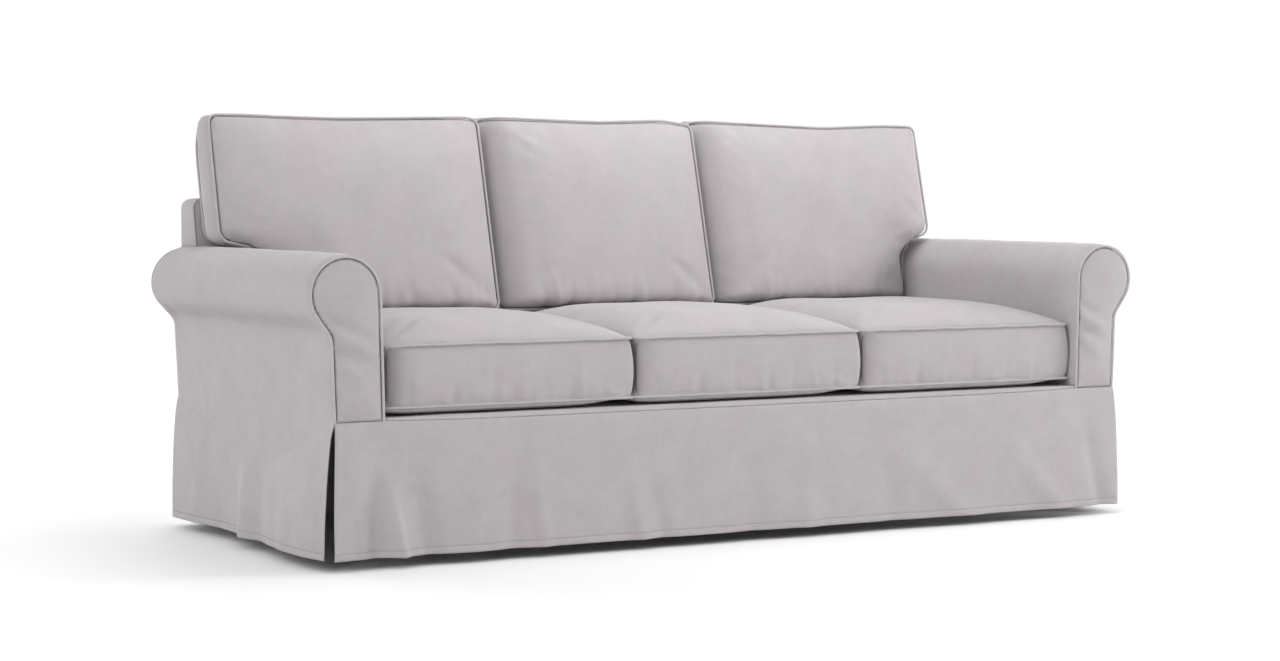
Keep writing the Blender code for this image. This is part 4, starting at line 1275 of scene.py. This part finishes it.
FACE_CREASES = rising(0.470, [
    # The left cushion's
    (-0.820, -0.800, 0.600, 0.014, -0.0030), (-0.770, -0.775, 0.560, 0.010, 0.0026),
    (-0.735, -0.748, 0.585, 0.012, -0.0034), (-0.640, -0.655, 0.560, 0.011, -0.0028),
    (-0.600, -0.612, 0.590, 0.011, 0.0026), (-0.540, -0.560, 0.570, 0.013, -0.0034),
    (-0.430, -0.455, 0.570, 0.014, -0.0036), (-0.385, -0.395, 0.560, 0.011, 0.0024),
    (-0.345, -0.350, 0.600, 0.012, -0.0026),
    # The middle one's
    (-0.190, -0.215, 0.560, 0.012, -0.0034), (-0.160, -0.185, 0.600, 0.009, 0.0036),
    (-0.128, -0.135, 0.560, 0.009, -0.0040), (-0.070, -0.078, 0.580, 0.012, 0.0022),
    (-0.010, -0.022, 0.550, 0.010, -0.0026), (0.040, 0.030, 0.560, 0.010, -0.0032),
    (0.066, 0.052, 0.580, 0.009, 0.0030), (0.150, 0.160, 0.540, 0.013, -0.0034),
    (0.205, 0.215, 0.560, 0.009, 0.0028), (0.235, 0.245, 0.530, 0.010, -0.0030),
    # The right one's
    (0.380, 0.370, 0.570, 0.012, -0.0030), (0.430, 0.415, 0.590, 0.010, 0.0028),
    (0.470, 0.462, 0.560, 0.010, -0.0034), (0.560, 0.556, 0.570, 0.012, -0.0028),
    (0.610, 0.600, 0.580, 0.010, 0.0028), (0.660, 0.668, 0.550, 0.012, -0.0032),
    (0.760, 0.780, 0.570, 0.013, -0.0030),
]) + [(0.880, 0.630, 0.800, 0.660, 0.016, -0.0030)]


def cushion_face(z):
    """Depth of a back cushion's front seam at this height."""
    return CUSHION_FOOT + (z - CUSHION_LOW) * CUSHION_SLOPE


def back_corners(name):
    """Corners of a back cushion's outline, the outer ones with an ear over the arm."""
    centre = SEAT_CENTRES[name]
    if name == "middle":
        inner, outer = centre - seat_half, centre + seat_half
        outside = [(outer, CUSHION_LOW, LOW_CORNER), (outer, CUSHION_TOP, TOP_CORNER)]
    else:
        inner = abs(centre) - seat_half
        outside = NOTCH + [(EAR_OUT, CUSHION_TOP - 0.004, TOP_CORNER)]
    corners = [(inner, CUSHION_LOW, LOW_CORNER), *outside, (inner, CUSHION_TOP, TOP_CORNER)]
    return [(-x, z, radius) for x, z, radius in reversed(corners)] if name == "left" else corners


backs = {}  # each cushion, its outline, and how far its front is tucked back
for name in SEAT_CENTRES:
    outline = rounded_outline(back_corners(name))
    side = SIDES.get(name, 0)
    low_x, high_x = outline[:, 0].min(), outline[:, 0].max()
    top_edge = smooth_curve(*zip(*TOP_EDGES[name]), 0.015)

    def face_dome(x, z):
        """The crown. On a notched cushion it widens above the arm, where the ear reaches out."""
        widen = np.clip((z - EAR_BLEND[0]) / (EAR_BLEND[1] - EAR_BLEND[0]), 0, 1)
        ear = (EAR_OUT - BODY_OUT) * (1 - widen * widen * (3 - 2 * widen))
        left, right = low_x + ear * (side < 0), high_x - ear * (side > 0)
        up = 2 * (z - (CUSHION_LOW + CUSHION_TOP) / 2) / (CUSHION_TOP - CUSHION_LOW)
        foot = np.sqrt(1 - np.clip(1 - (1 + up) / FOOT_ROLL, 0, 1) ** 2)
        return foot * dome((2 * x - left - right) / (right - left), np.maximum(up, 0), BACK_FULLNESS)

    def back_box(edge, outward, share):
        """Swells outward at the outer ends, and rests on the arm's roll under an ear."""
        under_ear = np.maximum(-outward[:, 1], 0) * (edge[:, 1] > 0.6)
        near_arm = np.maximum(outward[:, 0], 0) * (side > 0) * (edge[:, 1] < 0.6)
        outer_end = np.maximum(outward[:, 0] * side, 0)
        bulge = BACK_BULGE + EAR_BULGE[name] * outer_end + EAR_SAG * under_ear - BESIDE_ARM_IN * near_arm
        return bulge * 4 * share * (1 - share)

    def tuck(x, z, name=name, low_x=low_x):
        """How far the front seam sits back beside the neighbour on the left and beside the arm."""
        left, right = EDGE_TUCK[name]
        reach = EDGE_TUCK_REACH[1] + 0.07 * np.clip((0.60 - z) / 0.13, 0, 1)
        near_arm = dip(np.maximum(BODY_OUT - x, 0), reach) * np.clip((EAR_UNDER - z) / 0.05, 0, 1)
        return left * dip(x - low_x, EDGE_TUCK_REACH[0]) + right * near_arm

    def back_place(x, z, share, height):
        """A back cushion's point, its top edge uneven, its ears and top corners drawn in or out."""
        y = cushion_face(z) + tuck(x, z) * (1 - share) + CUSHION_THICK * share - height
        on_ear = np.clip((x * side - BODY_OUT + 0.02) / (EAR_OUT - BODY_OUT), 0, 1) ** 2
        reach = side * on_ear * (EAR_END[name] + REAR_END[name] * share)
        low_body = np.clip((x - 0.70) / 0.16, 0, 1) * np.clip((EAR_UNDER - z) / 0.03, 0, 1)
        reach += (side > 0) * BODY_FILL * low_body
        corner = dip(x * side - EAR_OUT, 0.05) * dip(z - CUSHION_TOP, 0.05)
        under_ear = np.clip((0.72 - z) / 0.06, 0, 1) * np.clip((z - 0.60) / 0.02, 0, 1)
        drawn = REAR_CORNER * corner * share**2 * (side != 0) - EAR_TURN * share * (side > 0) * under_ear
        lift = top_edge(x) * np.clip((z - CUSHION_TOP + 0.25) / 0.25, 0, 1) ** 2
        return np.stack([x + reach - 0.5 * side * np.maximum(drawn, 0), y + 0 * x, z + lift - 0.5 * drawn],
                        axis=1)

    cushion = boxed_cushion(f"back_cushion_{name}_cloth", outline, BACK_BOX_ROWS,
                            lambda x, z: CUSHION_CROWN * face_dome(x, z),
                            lambda x, z: REAR_CROWN * face_dome(x, z), back_box, back_place)
    backs[name] = (cushion, outline, tuck)
    normals = outline_normals(outline, True)
    out, up = CUSHION_WELT
    for level, share, shade in (("front", 0, FRONT_WELT_SHADE), ("rear", 1, 0.0)):
        push = np.full(len(outline), (2 * share - 1) * up * WELT)
        cord = back_place(*outline.T, share, 0.0)
        cord += np.stack([normals[:, 0] * out * WELT, push, normals[:, 1] * out * WELT], axis=1)
        sew_welt(f"back_welt_{level}_{name}", cord, True, shade)
fill([cushion for cushion, _, _ in backs.values()], BACK_SWELL)

for number, (name, (cushion, outline, tuck)) in enumerate(backs.items()):

    def back_field(x, y, z):
        """Wrinkles of the face, puckers along its seam, an uneven crown, and a dent beside each welt."""
        set_back = tuck(x, z)
        front = y - cushion_face(z) - set_back
        rim = edge_distance(np.stack([x, z], axis=1), outline[::3])
        on_face = front < 0.001
        field = creases(FACE_CREASES, x, z) * on_face * np.clip(rim / 0.008, 0, 1)
        pucker = ripple(x + z, 0 * x, 0.034, 101 + number)
        taut = np.clip((0.60 - z) / 0.10, 0.15, 1.0)
        field += 0.0009 * taut * pucker * np.exp(-rim / 0.028) * on_face * np.clip(rim / 0.006, 0, 1)
        field += 0.0014 * ripple(x, z, 0.26, 111 + number) * on_face * np.clip(rim / 0.07, 0, 1)
        rear = CUSHION_THICK - set_back - front
        in_box = (front > 0.001) & (rear > 0.001)
        edge = np.minimum(front, rear)
        field += 0.0003 * pucker * in_box * np.clip(edge / 0.01, 0, 1)
        return field - 0.0013 * dip(edge, 0.006) * in_box

    refine(cushion)
    press(cushion, back_field)
    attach(cushion, "root")
    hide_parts(f"back_cushion_{name}")
